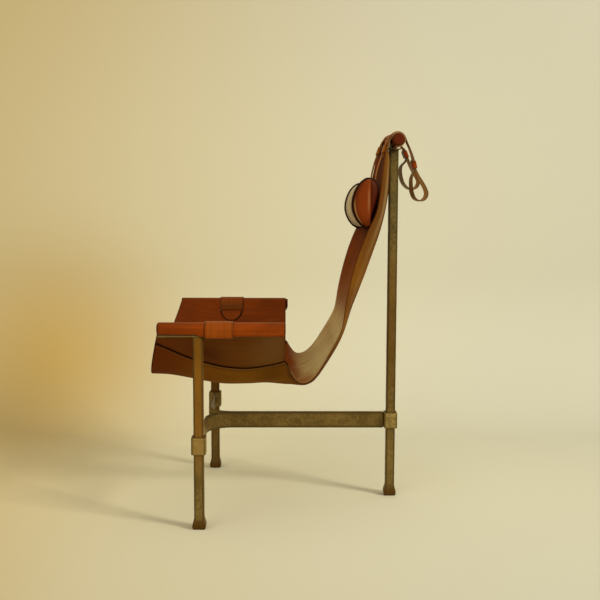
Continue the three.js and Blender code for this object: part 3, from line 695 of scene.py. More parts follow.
def ramp(value, low, high, to_low=0.0, to_high=1.0):
    """A value mapped from one range to another, smoothly."""
    ranges = {"From Min": low, "From Max": high, "To Min": to_low, "To Max": to_high}
    inputs = {"Value": value, **ranges}
    made = add(value.tree, "ShaderNodeMapRange", inputs, interpolation_type="SMOOTHSTEP")
    return Value(made.outputs[0])


def coordinates(tree, kind="Object"):
    return Value(add(tree, "ShaderNodeTexCoord").outputs[kind])


def stretched_uv(tree, scale):
    """The UV of a leather or dowel, with its own scale across and along."""
    inputs = {"Vector": coordinates(tree, "UV"), "Scale": scale}
    return Value(add(tree, "ShaderNodeMapping", inputs).outputs[0])


def attribute(tree, name):
    """A field of the mesh."""
    return Value(add(tree, "ShaderNodeAttribute", attribute_name=name).outputs["Fac"])


def noise_node(vector, scale, detail, rough):
    """Noise over a position."""
    inputs = {"Vector": vector, "Scale": scale, "Detail": detail, "Roughness": rough}
    return Value(add(vector.tree, "ShaderNodeTexNoise", inputs).outputs["Fac"])


def cells_node(vector, scale):
    """Distance from the middle of the nearest cell, of cells over a position."""
    inputs = {"Vector": vector, "Scale": scale}
    made = add(vector.tree, "ShaderNodeTexVoronoi", inputs, feature="SMOOTH_F1")
    return Value(made.outputs["Distance"])


def new_tree(name):
    """The nodes of a new material."""
    material = bpy.data.materials.new(name)
    material.use_nodes = True
    return material.node_tree


def surface(tree, colour, roughness, gloss=None, tint=None, metal=None, relief=None):
    """Sets the shader of a material. relief is a height, the bump's strength and its depth."""
    inputs = {"Base Color": colour, "Roughness": roughness}
    if gloss is not None:
        inputs["Specular IOR Level"] = gloss
    if tint is not None:
        inputs["Specular Tint"] = (*tint, 1)
    if metal is not None:
        inputs["Metallic"] = metal
    if relief is not None:
        bump = dict(zip(("Height", "Strength", "Distance"), relief))
        inputs["Normal"] = add(tree, "ShaderNodeBump", bump).outputs[0]
    fill(tree.nodes["Principled BSDF"], inputs)


WARM = (1, 0.6, 0.25)
WARM_IRON = (1, 0.75, 0.4)


def make_hide_group():
    """Leather: tone, stains, creases and the relief of its grain."""
    tree, start, end = open_group(
        "Hide",
        "ShaderNodeTree",
        [("Grain Size", "NodeSocketFloat", 0.0013), ("Wrinkle Size", "NodeSocketFloat", 0.012)],
        [("Tone", "NodeSocketFloat"), ("Stain", "NodeSocketFloat"), ("Height", "NodeSocketFloat")],
    )
    where = coordinates(tree)
    fine, coarse = (1.0 / Value(start.outputs[key]) for key in ("Grain Size", "Wrinkle Size"))
    pores = ramp(cells_node(where, fine), 0.1, 0.75)
    folds = ramp(abs(noise_node(where, coarse, 6.0, 0.6) - 0.5), 0.0, 0.05)
    broad = noise_node(where, 9.0, 5.0, 0.6)
    streaks = noise_node(stretched_uv(tree, (130.0, 7.0, 1.0)), 1.0, 5.0, 0.6)
    outputs = {
        "Tone": broad * 0.45 + streaks * 0.55,
        "Stain": ramp(noise_node(where, 4.0, 8.0, 0.65), 0.52, 0.72),
        "Height": pores * 0.35 + folds * 0.5,
    }
    fill(end, outputs)


def make_leather(name, grain, flesh, dark=None, rough=0.4, flesh_rough=0.6, wear=0.5, gloss=0.12):
    """Leather with a grain side, a flesh side, dyed edges with a creased line, and painted shade,
    sheen and edge highlights.
    """
    tree = new_tree(name)
    tints = bpy.context.scene.chair_colours
    pale = tints.worn_and_sheen
    if dark is None:
        dark = tints.leather_dark
    hide = add(tree, "ShaderNodeGroup", node_tree=bpy.data.node_groups["Hide"])
    tone, stain, height = (Value(hide.outputs[key]) for key in ("Tone", "Stain", "Height"))
    # The dark field holds stains and painted shade.
    darkening = attribute(tree, "dark")
    stain_and_shade = (stain * wear).at_least(darkening)
    depth_of_tone = ramp(tone, 0.3, 0.68, 0.45, 1.0)

    face = mix(stain_and_shade, mix(depth_of_tone, dark, grain), dark)
    # The worn field is real wear together with painted sheen; on the caps it is painted highlights.
    worn_and_sheen = attribute(tree, "worn_and_sheen") * ramp(tone, 0.34, 0.58, 0.55, 1.0)
    face = mix(worn_and_sheen * (1.0 - darkening), face, pale)
    face = mix(attribute(tree, "amber"), face, tints.strap)

    light = tuple(min(1, v * 1.45) for v in flesh)
    back = mix(depth_of_tone, scaled(flesh, 0.8), light)
    back = mix(stain_and_shade * 0.6, back, dark)
    for field, tint in (("shade", dark), ("faded", pale), ("ruddy", scaled(grain, 0.5))):
        back = mix(attribute(tree, field), back, tint)

    side = attribute(tree, "flesh")
    inset = attribute(tree, "inset")
    crease = ramp(inset, 2.6 * MM, 3.2 * MM) * ramp(inset, 4.6 * MM, 3.8 * MM)
    rim = ramp(inset / (attribute(tree, "rim") + 1.0), 1.6 * MM, 0.6 * MM)
    colour = mix(crease * 0.55, mix(side, face, back), dark)
    # A painted highlight along edges that catch the light.
    colour = mix(rim * attribute(tree, "edge_highlight") * 0.4, colour, pale)
    colour = mix(rim * (1.0 - attribute(tree, "cut")), colour, tints.edge)
    roughness = blend_values(side, stain * 0.16 + rough, flesh_rough)
    surface(
        tree, colour, roughness, gloss, WARM, relief=(height - crease * 0.8, 0.35, 0.6 * MM)
    )


def make_iron(name, base, edge, rough=0.45, metal=0.35, depth=0.6 * MM):
    """Forged iron under old wax: hammered, with rust, pits, darker corners, and painted reflection
    and shade from its fields.
    """
    tree = new_tree(name)
    rust = bpy.context.scene.chair_colours.rust
    where = coordinates(tree)
    broad = noise_node(where, 11.0, 6.0, 0.65)
    fine = noise_node(where, 110.0, 6.0, 0.75)
    pits = ramp(noise_node(where, 480.0, 3.0, 0.6), 0.63, 0.72)
    tone = ramp(broad * 0.4 + fine * 0.6, 0.41, 0.59)
    colour = mix(tone, scaled(base, 0.55), scaled(base, 1.2))
    # On the front legs the rust field also holds a painted reflection of the leather.
    spread = attribute(tree, "rust") * ramp(tone, 0.0, 1.0, 0.75, 1.0)
    colour = mix((ramp(broad, 0.55, 0.75) * 0.25).at_least(spread), colour, rust)
    colour = mix(pits * 0.5, colour, scaled(base, 0.3))
    dark_edges = attribute(tree, "corner") * ramp(fine, 0.3, 0.5)
    colour = mix(dark_edges * 0.85, colour, edge)
    # The dark field darkens the feet, the post, the stretcher and a collar, and is painted shade on
    # the front legs.
    colour = mix(attribute(tree, "dark"), colour, scaled(rust, 0.3))
    height = cells_node(where, 85.0) + fine * 0.5 - pits * 0.5
    roughness = ramp(fine, 0.3, 0.7, rough - 0.08, rough + 0.14)
    surface(tree, colour, roughness, 0.3, WARM_IRON, metal, (height, 0.4, depth))


def make_wood(name, base):
    """Dark waxed wood: streaks along it and rings on its ends."""
    tree = new_tree(name)
    wobble = noise_node(coordinates(tree), 60.0, 3.0, 0.5)
    rings = (attribute(tree, "radial") * 2600.0 + wobble * 5.0).sine() * 0.5 + 0.5
    streaks = noise_node(stretched_uv(tree, (260.0, 9.0, 1.0)), 1.0, 5.0, 0.6)
    grain = blend_values(attribute(tree, "end"), streaks, rings)
    colour = mix(grain, scaled(base, 0.45), scaled(base, 1.3))
    # The dark field is painted shade on the chamfers.
    colour = mix(attribute(tree, "dark"), colour, scaled(base, 0.2))
    surface(tree, colour, 0.5, 0.15, WARM, relief=(grain, 0.3, 0.4 * MM))


def make_canvas(name, base):
    """Plain-woven cotton canvas, a little soiled, with painted shade in its folds and seams."""
    tree = new_tree(name)
    where = coordinates(tree)
    split = add(tree, "ShaderNodeSeparateXYZ", {0: coordinates(tree, "UV")})
    turns = 2 * math.pi / (1.1 * MM)
    warp, weft = ((Value(split.outputs[axis]) * turns).sine() for axis in "XY")
    weave = warp * weft * 0.5 + 0.5
    slub = noise_node(where, 90.0, 4.0, 0.6)
    soil = ramp(noise_node(where, 14.0, 5.0, 0.6), 0.42, 0.75)
    colour = mix(ramp(slub, 0.3, 0.7), scaled(base, 0.8), base)
    colour = mix(soil * 0.4, colour, scaled(base, 0.5))
    colour = mix(weave * 0.25, colour, scaled(base, 0.55))
    # Painted shade in the folds and seams.
    fold_shade_colour = tuple(v * share for v, share in zip(base, (0.2, 0.11, 0.04)))
    colour = mix(attribute(tree, "dark"), colour, fold_shade_colour)
    surface(tree, colour, 0.92, relief=(weave + slub * 0.6, 0.5, 0.4 * MM))
    fill(tree.nodes["Principled BSDF"], {"Sheen Weight": 0.2})


def make_steel(name):
    """Dull screw steel."""
    tree = new_tree(name)
    marks = noise_node(coordinates(tree), 900.0, 4.0, 0.6)
    colour = mix(ramp(marks, 0.35, 0.7), (0.03, 0.022, 0.015), (0.16, 0.13, 0.09))
    surface(tree, colour, ramp(marks, 0.3, 0.7, 0.3, 0.6), metal=0.9)


def make_thread(name, base):
    """Waxed linen thread with its twist."""
    tree = new_tree(name)
    soil = noise_node(coordinates(tree), 300.0, 3.0, 0.6)
    surface(tree, mix(soil, scaled(base, 0.45), base), 0.6)


def make_materials():
    """Every finish of the chair."""
    tints = bpy.context.scene.chair_colours
    flesh, cap_dark = tints.flesh, tints.cap_dark
    make_hide_group()
    for name, grain, back, settings in (
        ("Sling", tints.leather, flesh, {"rough": 0.5, "flesh_rough": 0.85, "gloss": 0.05}),
        ("Rail", tints.rail, scaled(tints.rail, 0.75), {"rough": 0.36, "wear": 0.2, "gloss": 0.2}),
        ("Strap", tints.strap, tints.strap_flesh, {"rough": 0.5, "gloss": 0.06}),
        ("Wing", tints.rail, tints.wing_flesh, {"flesh_rough": 0.8, "gloss": 0.14}),
        ("Loop", tints.loop, tints.strap_flesh, {"rough": 0.42}),
        ("Cap", tints.cap, flesh, {"dark": cap_dark, "rough": 0.42, "wear": 0.0, "gloss": 0.14}),
        ("Keeper", tints.keeper, flesh, {"rough": 0.38, "wear": 0.3}),
        ("Piping", tints.piping, tints.piping, {"dark": tints.edge, "rough": 0.45}),
    ):
        make_leather(name + " leather", grain, back, **settings)
    make_iron("Forged iron", tints.iron, scaled(tints.iron, 0.25))
    make_iron("Collar iron", tints.collar, scaled(tints.collar, 0.3), 0.4, 0.5, 1.6 * MM)
    make_wood("Dowel wood", tints.wood)
    make_canvas("Canvas", tints.canvas)
    make_steel("Screw steel")
    make_thread("Thread", tints.thread)


def finish(name):
    return bpy.data.materials[name]


# Stitches


def make_stitch_tree():
    """Stitches that follow a line of edges."""
    tree, start, end = open_group(
        "Stitches",
        "GeometryNodeTree",
        [
            ("Geometry", "NodeSocketGeometry", None),
            ("Spacing", "NodeSocketFloat", 0.005),
            ("Length", "NodeSocketFloat", 0.0036),
            ("Radius", "NodeSocketFloat", 0.00045),
            ("Material", "NodeSocketMaterial", None),
        ],
        [("Geometry", "NodeSocketGeometry")],
    )
    given = start.outputs
    line = add(tree, "GeometryNodeMeshToCurve", {"Mesh": given["Geometry"]})
    inputs = {"Curve": line.outputs[0], "Length": given["Spacing"]}
    spots = add(tree, "GeometryNodeCurveToPoints", inputs, mode="LENGTH")
    bead = add(tree, "GeometryNodeMeshUVSphere", {"Segments": 6, "Rings": 5, "Radius": 1.0})
    radius, half = given["Radius"], Value(given["Length"]) * 0.5
    size = add(tree, "ShaderNodeCombineXYZ", {"X": radius, "Y": radius, "Z": half})
    inputs = {key: spots.outputs[key] for key in ("Points", "Rotation")}
    inputs |= {"Instance": bead.outputs["Mesh"], "Scale": size.outputs[0]}
    stitches = add(tree, "GeometryNodeInstanceOnPoints", inputs)
    real = add(tree, "GeometryNodeRealizeInstances", {"Geometry": stitches.outputs[0]})
    soft = add(tree, "GeometryNodeSetShadeSmooth", {"Geometry": real.outputs[0]})
    inputs = {"Geometry": soft.outputs[0], "Material": given["Material"]}
    done = add(tree, "GeometryNodeSetMaterial", inputs)
    fill(end, {"Geometry": done.outputs[0]})
    return tree


def stitch_piece(name, lines, body, slot):
    """Stitches along lines of points, as one mesh that rides on a body."""
    sizes = bpy.context.scene.chair_sizes
    tree = bpy.data.node_groups.get("Stitches") or make_stitch_tree()
    points, edges = [], []
    for line in lines:
        first = len(points)
        points += np.asarray(line, float).tolist()
        edges += [(k, k + 1) for k in range(first, len(points) - 1)]
    mesh = bpy.data.meshes.new(name + "_line")
    mesh.from_pydata(points, edges, [])
    holder = new_object(name + "_line", mesh)
    modifier = holder.modifiers.new("Stitches", "NODES")
    modifier.node_group = tree
    values = {
        "Spacing": sizes.stitch_spacing,
        "Length": sizes.stitch_length,
        "Radius": sizes.thread_radius,
        "Material": finish("Thread"),
    }
    for item in tree.interface.items_tree:
        if item.in_out == "INPUT" and item.name in values:
            modifier[item.identifier] = values[item.name]
    graph = bpy.context.evaluated_depsgraph_get()
    made = bpy.data.meshes.new_from_object(holder.evaluated_get(graph))
    made.name = name
    bpy.data.objects.remove(holder)
    return place(new_object(name, made), body, slot)


def inset_line(grid, distance, lift, from_start=True):
    """A line on a grid, a distance in from its first or last column, lifted off its middle."""
    grid = np.asarray(grid, float)
    if not from_start:
        grid = grid[:, ::-1]
    normals = grid_normals(grid) * (1 if from_start else -1)
    steps = np.linalg.norm(np.diff(grid, axis=1), axis=-1)
    travelled = np.concatenate([np.zeros((len(grid), 1)), np.cumsum(steps, axis=1)], axis=1)
    line = []
    for row, normal, lengths in zip(grid, normals, travelled):
        j = min(int(np.searchsorted(lengths, distance)), len(row) - 1)
        share = (distance - lengths[j - 1]) / (lengths[j] - lengths[j - 1])
        line.append(lerp(row[j - 1], row[j], share) + normal[j] * lift)
    return np.array(line)


# Iron


def leg_rust_and_reflection(z):
    """How much rust colour a front leg has at a height: rust, and higher up also a painted
    reflection of the leather above.
    """
    return 0.12 + 0.8 * rise(z, 60 * MM, 300 * MM)


def near_leg_shade(z):
    """How much painted shade the left front leg has at a height, just under the arm rail."""
    return 0.3 * rise(z, 450 * MM, 60 * MM)


def far_leg_shade(z):
    """How much painted shade the right front leg has, the same at each of some heights."""
    return np.full(len(z), 0.48)


def post_rust(z):
    """How much rust the post has at a height."""
    return 0.15 + 0.25 * hill(z, 550 * MM, 260 * MM) - 0.3 * rise(z, 700 * MM, 200 * MM)


def post_soot(z):
    """How much soot the post has at a height."""
    return 0.46 * hill(z, 530 * MM, 170 * MM)


def upright_piece(name, x, y, height, seed, rust_and_reflection, soot_and_shade):
    """A forged square upright, upset to a wider foot. The rust, soot, painted reflection and
    painted shade it gets depend on the height.
    """
    depth = bpy.context.scene.chair_sizes.hammer_depth
    foot = np.linspace(3 * MM, FOOT_HEIGHT, 10)
    shaft = np.linspace(FOOT_HEIGHT + 6 * MM, height - 1 * MM, int(height / (6 * MM)))
    levels = np.concatenate([[0, 0.8 * MM], foot, shaft, [height]])
    rings, corners = [], []
    for z in levels:
        flare = 1 - rise(z, 0.28 * FOOT_HEIGHT, 0.72 * FOOT_HEIGHT)
        bevel = 3 * MM * max(0.0, 1 - z / (7 * MM)) ** 2 + (1 * MM if z == height else 0)
        half = lerp(BAR_SIZE, FOOT_SIZE, flare) / 2 - bevel
        ring, corner = square_ring(half, 2.2 * MM, 5, (x, y, z))
        rings.append(ring)
        corners.append(corner)
    rings = hammered(rings, depth, 13 * MM, 5.5 * MM, seed)
    rings[..., 2] = np.maximum(rings[..., 2], 0)
    dark_foot = 0.9 * (1 - rise(levels, 14 * MM, 30 * MM))
    fields = {
        "corner": corners,
        "rust": np.maximum(rust_and_reflection(levels), 0),
        "dark": np.maximum(dark_foot, soot_and_shade(levels)),
    }
    return loft_piece(name, rings, finish("Forged iron"), fields)


def collar_piece(name, x, y, z, seed, extra_dark=0.0):
    """A square sleeve with pitted faces, darker edges, and painted shade on its ends against the
    bar.
    """
    inner = BAR_SIZE / 2 + 2 * GAP
    outer = COLLAR_SIZE / 2
    bevel = 2 * MM
    half = COLLAR_HEIGHT / 2
    end = [(inner, half), (outer - bevel, half), (outer - bevel * 0.3, half - bevel * 0.3)]
    profile = [(size, -level) for size, level in end]
    profile += [(outer, level) for level in np.linspace(-half + bevel, half - bevel, 9)]
    profile += end[::-1]
    rings, corners = [], []
    for size, level in profile:
        ring, corner = square_ring(size, 2.4 * MM, 6, (x, y, z + level))
        rings.append(ring)
        # The ends count as corners, so they take painted shade against the bar.
        corners.append(np.maximum(corner, abs(level) > half - bevel * 0.8))
    rings = np.array(rings)
    outward = unit((rings - (x, y, 0)) * (1, 1, 0))
    marks = 0.5 * noise(rings, 9 * MM, seed) + 0.5 * noise(rings, 4 * MM, seed + 3)
    pitted = np.array([size != inner for size, _ in profile])[:, None]
    rings = rings + outward * (marks * pitted * 0.45 * MM)[..., None]
    fields = {"corner": corners, "dark": extra_dark}
    return loft_piece(name, rings, finish("Collar iron"), fields, looped=True)


def stretcher_path():
    """Centre line and outward side of the left stretcher bar, from the post to the leg."""
    x = GAP / 2 + FLAT_THICKNESS / 2
    rear = POST.y - COLLAR_SIZE / 2 - GAP
    turn_y = LEG.y + BEND_R
    end = RAIL.x - COLLAR_SIZE / 2 - GAP
    points, sides = [], []
    for y in np.linspace(rear, turn_y, 84)[:-1]:
        points.append((x, y))
        sides.append((1, 0))
    for angle in np.linspace(math.pi, 1.5 * math.pi, 26):
        points.append((x + BEND_R + BEND_R * math.cos(angle), turn_y + BEND_R * math.sin(angle)))
        sides.append((-math.cos(angle), -math.sin(angle)))
    for step in np.linspace(x + BEND_R, end, 40)[1:]:
        points.append((step, LEG.y))
        sides.append((0, 1))
    return points, sides


def stretcher_piece(name, side, seed):
    """One flat bar of the stretcher, on edge."""
    depth = bpy.context.scene.chair_sizes.hammer_depth
    points, sides = stretcher_path()
    section, corner = rounded_section(FLAT_THICKNESS / 2, FLAT_HEIGHT / 2, 1.6 * MM, 6)
    rings = []
    for k, ((x, y), (side_x, side_y)) in enumerate(zip(points, sides)):
        a, b = section.T * (0.9 if k in (0, len(points) - 1) else 1)
        rings.append(np.column_stack([x + side_x * a, y + side_y * a, COLLAR.z + b]))
    # A section goes from the side to up, so it is turned where the bar runs towards -Y.
    rings = np.array(rings)
    if not faces_out(rings, points):
        rings = rings[:, ::-1]
    if side < 0:
        rings = mirrored(rings)
    rings = hammered(rings, depth * 0.6, 16 * MM, 6 * MM, seed)
    fields = {"corner": np.tile(corner, (len(rings), 1)), "rust": 0.2, "dark": 0.12}
    return loft_piece(name, rings, finish("Forged iron"), fields)


def faces_out(rings, points):
    """Whether the rings are counter-clockwise seen from where they go."""
    ring = np.array(rings[0])
    centre = ring.mean(axis=0)
    turn = np.cross(ring[0] - centre, ring[3] - centre)
    ahead = np.array([*points[1], 0]) - np.array([*points[0], 0])
    return float(turn @ ahead) > 0


def dowel_piece(name, centre, half_length, radius, along, chamfer):
    """A turned dowel with chamfered ends. along is its axis, 0 for X and 1 for Y."""
    end = [(half_length - chamfer * 0.5, radius - chamfer * 0.4)]
    end += [(half_length, share * (radius - chamfer)) for share in (1, 0.75, 0.5, 0.25)]
    stations = [(-s, r) for s, r in end[::-1]]
    straight = half_length - chamfer
    stations += [(s, radius) for s in np.linspace(-straight, straight, 30)]
    stations += end
    turns = np.linspace(0, 2 * math.pi, 48, endpoint=False)
    rings, radial, uv = [], [], []
    for s, r in stations:
        a, b = r * np.cos(turns), r * np.sin(turns)
        ring = (s + 0 * a, a, b) if along == 0 else (b, s + 0 * a, a)
        rings.append(np.column_stack(ring) + np.array(centre))
        radial.append(np.hypot(a - radius * 0.2, b + radius * 0.15))
        uv.append(np.column_stack([turns * radius, s + 0 * a]))
    place_along, size = abs(np.array(stations)).T
    at_edge = (size > radius - chamfer * 0.6) & (place_along > half_length - chamfer)
    # A ring of painted shade on each chamfer.
    fields = {
        "radial": radial,
        "end": place_along > half_length - chamfer * 0.7,
        "dark": 0.8 * at_edge,
    }
    return loft_piece(name, rings, finish("Dowel wood"), fields, np.concatenate(uv))


# Sling


def hammock(drop):
    """Section of the wing leather: its lowest height, factor, angle and where it meets the rail."""
    low = RAIL.z - drop * HAMMOCK_DEPTH
    angle = math.pi / 4
    factor = 0.0
    for _ in range(30):
        x = RAIL.x - WRAP_R * math.sin(angle)
        z = RAIL.z + WRAP_R * math.cos(angle)
        factor = (z - low) / x**2
        angle = math.atan(2 * factor * x)
    return low, factor, angle, RAIL.x - WRAP_R * math.sin(angle)


def seat_point(row, x, offset):
    """A point on the seat leather, stood off from the wing's middle surface."""
    share, drop, width = row
    low, factor, _, meet = hammock(drop)
    seam = width * SLING_HALF
    seam_y = WING_FRONT - SEAM_BULGE
    if abs(x) < seam:
        front = lerp(WING_FRONT - LIP_BULGE, seam_y, (x / seam) ** 2)
    else:
        front = lerp(seam_y, WING_FRONT, min((abs(x) - seam) / (meet - seam), 1))
    slope = math.atan(2 * factor * x)
    return (
        x - offset * math.sin(slope),
        lerp(front, SEAT_END, share),
        low + factor * x**2 + offset * math.cos(slope),
    )


def on_bar(degrees, radius):
    """A place (y, z) round the crossbar axis."""
    angle = math.radians(degrees)
    return BAR.y + radius * math.cos(angle), BAR.z + radius * math.sin(angle)


def parabola_row(shares, centre, edge, half):
    """A row of the sling, from its centre line out to its edges."""
    centre, edge = np.array(centre), np.array(edge)
    places = centre + np.outer(shares**2, edge - centre)
    return np.column_stack([shares * half, places])


def seat_back_grid():
    """Middle surface of the main panel, seen from the sitter's side."""
    shares = np.linspace(-1, 1, 101)
    offset = -HIDE - LAP_GAP
    rows = [[seat_point(row, s * row[2] * SLING_HALF, offset) for s in shares] for row in SEAT_ROWS]
    lowest = RAIL.z - HAMMOCK_DEPTH + offset
    run, rise = BACK_FACE - SEAT_END, BAR.z - lowest
    for centre_y, centre_z, edge_y, edge_z, width in BACK_ROWS:
        centre = (SEAT_END + centre_y * run, lowest + centre_z * rise)
        edge = (SEAT_END + edge_y * run, lowest + edge_z * rise)
        rows.append(parabola_row(shares, centre, edge, width * SLING_HALF))
    plate_face = PLATE_LOW.y - GAP - HIDE / 2
    tops = (
        (plate_face, PLATE_LOW.z),
        (plate_face, PLATE_HIGH.z + HIDE),
        (BAR.y - TOP_WRAP_R, BAR.z),
    )
    for (y, z), lead in zip(tops, TOP_EDGE_LEADS):
        rows.append(parabola_row(shares, (y, z), (y - lead * BAR_R, z), TOP_HALF))
    for degrees in np.linspace(*WRAP_ANGLES, 18):
        there = on_bar(degrees, TOP_WRAP_R)
        rows.append(parabola_row(shares, there, there, TOP_HALF))
    return smooth_rows(rows, 300)


def sheet_places(grid):
    """How far across from its middle and along from its start each point of a grid is."""
    along, across = distances(grid, 0), distances(grid, 1)
    return np.meshgrid(across - across[-1] / 2, along)


def sling_relief(grid):
    """Wrinkles and drag lines of the main panel, as heights over its middle surface."""
    depth = bpy.context.scene.chair_sizes.wrinkle_depth
    u, v = sheet_places(grid)
    still = rise(v, 0.02, 0.06) * ease((1.16 - v) / 0.08)
    broad, fine = (
        noise(np.dstack([u / width, v / length, 0 * u]), 1.0, seed)
        for width, length, seed in ((0.055, 0.16, 5), (0.016, 0.07, 9))
    )
    drags = np.zeros_like(u)
    for centre_u, centre_v, lean, width, length, height in DRAG_LINES:
        shifted = (u - centre_u) - lean * (v - centre_v)
        drags += height * hill(shifted, 0, width) * hill(v, centre_v, length)
    return still * (depth * (0.9 * broad + 0.55 * fine * (0.3 + hill(v, 0.47, 0.09))) + drags)


def shading(grid, spots):
    """A field on a grid that peaks at spots (u, v, reach across, reach along, height)."""
    u, v = sheet_places(grid)
    field = np.zeros_like(u)
    for at_u, at_v, size_u, size_v, height in spots:
        field = np.maximum(field, height * hill(u, at_u, size_u) * hill(v, at_v, size_v))
    return field


# Soft ridges pulled out of the leather: place (u, v), lean, width, length and height
DRAG_LINES = tuple(
    (side * u, v, side * lean, width, length, height)
    for side in (-1, 1)
    for u, v, lean, width, length, height in (
        (0.165, 0.475, 0.25, 0.008, 0.05, 2.2 * MM),
        (0.14, 0.5, 0.3, 0.006, 0.045, -2.0 * MM),
        (0.115, 0.49, 0.28, 0.007, 0.05, 1.6 * MM),
        (0.2, 0.62, 0.05, 0.012, 0.1, 1.5 * MM),
        (0.16, 0.66, 0.05, 0.01, 0.12, -1.4 * MM),
        (0.06, 0.5, 0.1, 0.012, 0.06, 1.5 * MM),
    )
)


# Rubbed places with painted sheen, stains, painted shade and tints of the leather: place (u, v),
# reach across and along, height
WORN_AND_SHEEN_SPOTS = (
    (0.0, 0.55, 0.4, 0.12, 1.15),
    (0.0, 0.66, 0.4, 0.07, 1.0),
    (-0.05, 0.75, 0.2, 0.05, 0.2),
)
FADED_SPOTS = ((0.14, 1.1, 0.025, 0.15, 0.26), (0.15, 0.8, 0.02, 0.1, 0.08))
SHADED_SPOTS = (
    (0.17, 0.37, 0.08, 0.04, 0.4),
    (0.0, 0.57, 0.6, 0.13, 0.8),
    (0.0, 0.78, 0.6, 0.08, 0.6),
    (0.0, 0.9, 0.6, 0.35, 0.35),
    (0.0, 1.13, 0.6, 0.13, 0.6),
)
DARK_SPOTS = (
    (0.2, 0.455, 0.05, 0.035, 0.85),
    (-0.19, 0.422, 0.04, 0.012, 0.4),
    (-0.075, 0.449, 0.05, 0.022, 0.92),
    (0.02, 0.475, 0.06, 0.03, 0.8),
    (0.17, 0.51, 0.07, 0.05, 0.5),
    (0.0, 0.02, 0.5, 0.1, 0.5),
    (-0.15, 0.86, 0.2, 0.11, 0.3),
    (-0.1, 0.95, 0.2, 0.06, 0.4),
    # Painted shade behind the headrest.
    (0.0, 1.02, 0.4, 0.1, 0.8),
)
AMBER_SPOTS = (
    (-0.2, 0.44, 0.08, 0.03, 0.4),
    (-0.075, 0.449, 0.05, 0.022, 0.45),
    (0.02, 0.475, 0.06, 0.03, 0.55),
    (0.17, 0.51, 0.07, 0.05, 0.45),
    (-0.16, 0.82, 0.14, 0.1, 0.1),
)
RUDDY_SPOTS = ((0.0, 0.0, 0.6, 0.15, 0.9),)
WING_DARK_SPOTS = ((0.0, 0.33, 0.09, 0.08, 0.15), (0.0, 0.0, 0.5, 0.09, 0.3))
WING_RUDDY_SPOTS = ((0.0, 0.0, 0.6, 0.13, 0.6),)
WING_SHADED_SPOTS = ((-0.06, 0.14, 0.04, 0.05, 0.8),)
WING_FADED_SPOTS = ((0.0, 0.34, 0.2, 0.06, 0.07),)


def wing_grid():
    """Middle surface of the left wing, from under the seam over the rail to the flap."""
    rows = []
    for row in SEAT_ROWS:
        _, factor, angle, meet = hammock(row[1])
        seam = row[2] * SLING_HALF
        slope = math.atan(2 * factor * seam)
        start = seam - SEAM_LAP * math.cos(slope)
        points = [seat_point(row, x, 0) for x in np.linspace(start, seam, 7)[:-1]]
        points += [seat_point(row, x, 0) for x in np.linspace(seam, meet, 42)[:-1]]
        y = lerp(WING_FRONT, SEAT_END, row[0])
        for turn in np.linspace(angle + math.pi / 2, 0, 24):
            points.append((RAIL.x + WRAP_R * math.cos(turn), y, RAIL.z + WRAP_R * math.sin(turn)))
        for share in np.linspace(0, 1, 8)[1:]:
            points.append((RAIL.x + WRAP_R, y, RAIL.z - share * FLAP_DROP))
        rows.append(points)
    grid = smooth_rows(rows, 92)
    behind = rise(grid[:, -1, 1], LEG.y - 6 * MM, 12 * MM)
    for k, share in enumerate(np.linspace(0, 1, 8)[1:]):
        grid[:, k - 7, 2] = RAIL.z - share * (FLAP_DROP - FLAP_TRIM * (1 - behind))
    return grid


def section_at(y):
    """Section of the wing leather at a place along the arm rail."""
    along = (y - WING_FRONT) / (SEAT_END - WING_FRONT)
    drops = np.interp(along, [row[0] for row in SEAT_ROWS], [row[1] for row in SEAT_ROWS])
    return hammock(float(drops))


def at_slot(section, up, inward):
    """A place (x, z) on a wing section near its slot: up the leather, in to the sitter."""
    low, factor = section[:2]
    slot_x = math.sqrt((SLOT_Z - low) / factor)
    slope = math.atan(2 * factor * slot_x)
    x = slot_x + up * math.cos(slope)
    slope = math.atan(2 * factor * x)
    return x - inward * math.sin(slope), low + factor * x**2 + inward * math.cos(slope)


def band_path(section):
    """Section path of an arm band, from the tip of its tab round the rail to the slot."""
    half = HIDE / 2
    stand = HIDE + BAND_GAP
    layer = half + GAP
    outer = RAIL.x + WRAP_R + stand
    under = ARM_PLATE_LOW.z - BAND_GAP - half
    tab = [at_slot(section, -TAB_LENGTH * math.cos(t), stand) for t in np.linspace(*TAB_TURNS, 22)]
    path = tab + [
        at_slot(section, -layer - HIDE, stand),
        at_slot(section, -layer - half, stand - half / 2),
        at_slot(section, -layer, half / 2),
        at_slot(section, -layer, -half * 1.5),
        (ARM_PLATE_LOW.x - HIDE, under - half / 2),
        (ARM_PLATE_LOW.x, under),
        (lerp(ARM_PLATE_LOW.x, outer - BAND_CORNER, 0.5), under),
        (outer - BAND_CORNER, under),
        (outer - BAND_CORNER * 0.3, under + BAND_CORNER * 0.3),
        (outer, under + BAND_CORNER),
    ]
    for turn in np.linspace(0, section[2] + math.pi / 2, 26):
        r = WRAP_R + stand
        path.append((RAIL.x + r * math.cos(turn), RAIL.z + r * math.sin(turn)))
    path += [
        at_slot(section, layer + HIDE * 2, stand),
        at_slot(section, layer + HIDE, stand),
        at_slot(section, layer + half, stand - half / 2),
        at_slot(section, layer, half / 2),
        at_slot(section, layer, -half * 1.5),
    ]
    return np.array(path), len(tab)


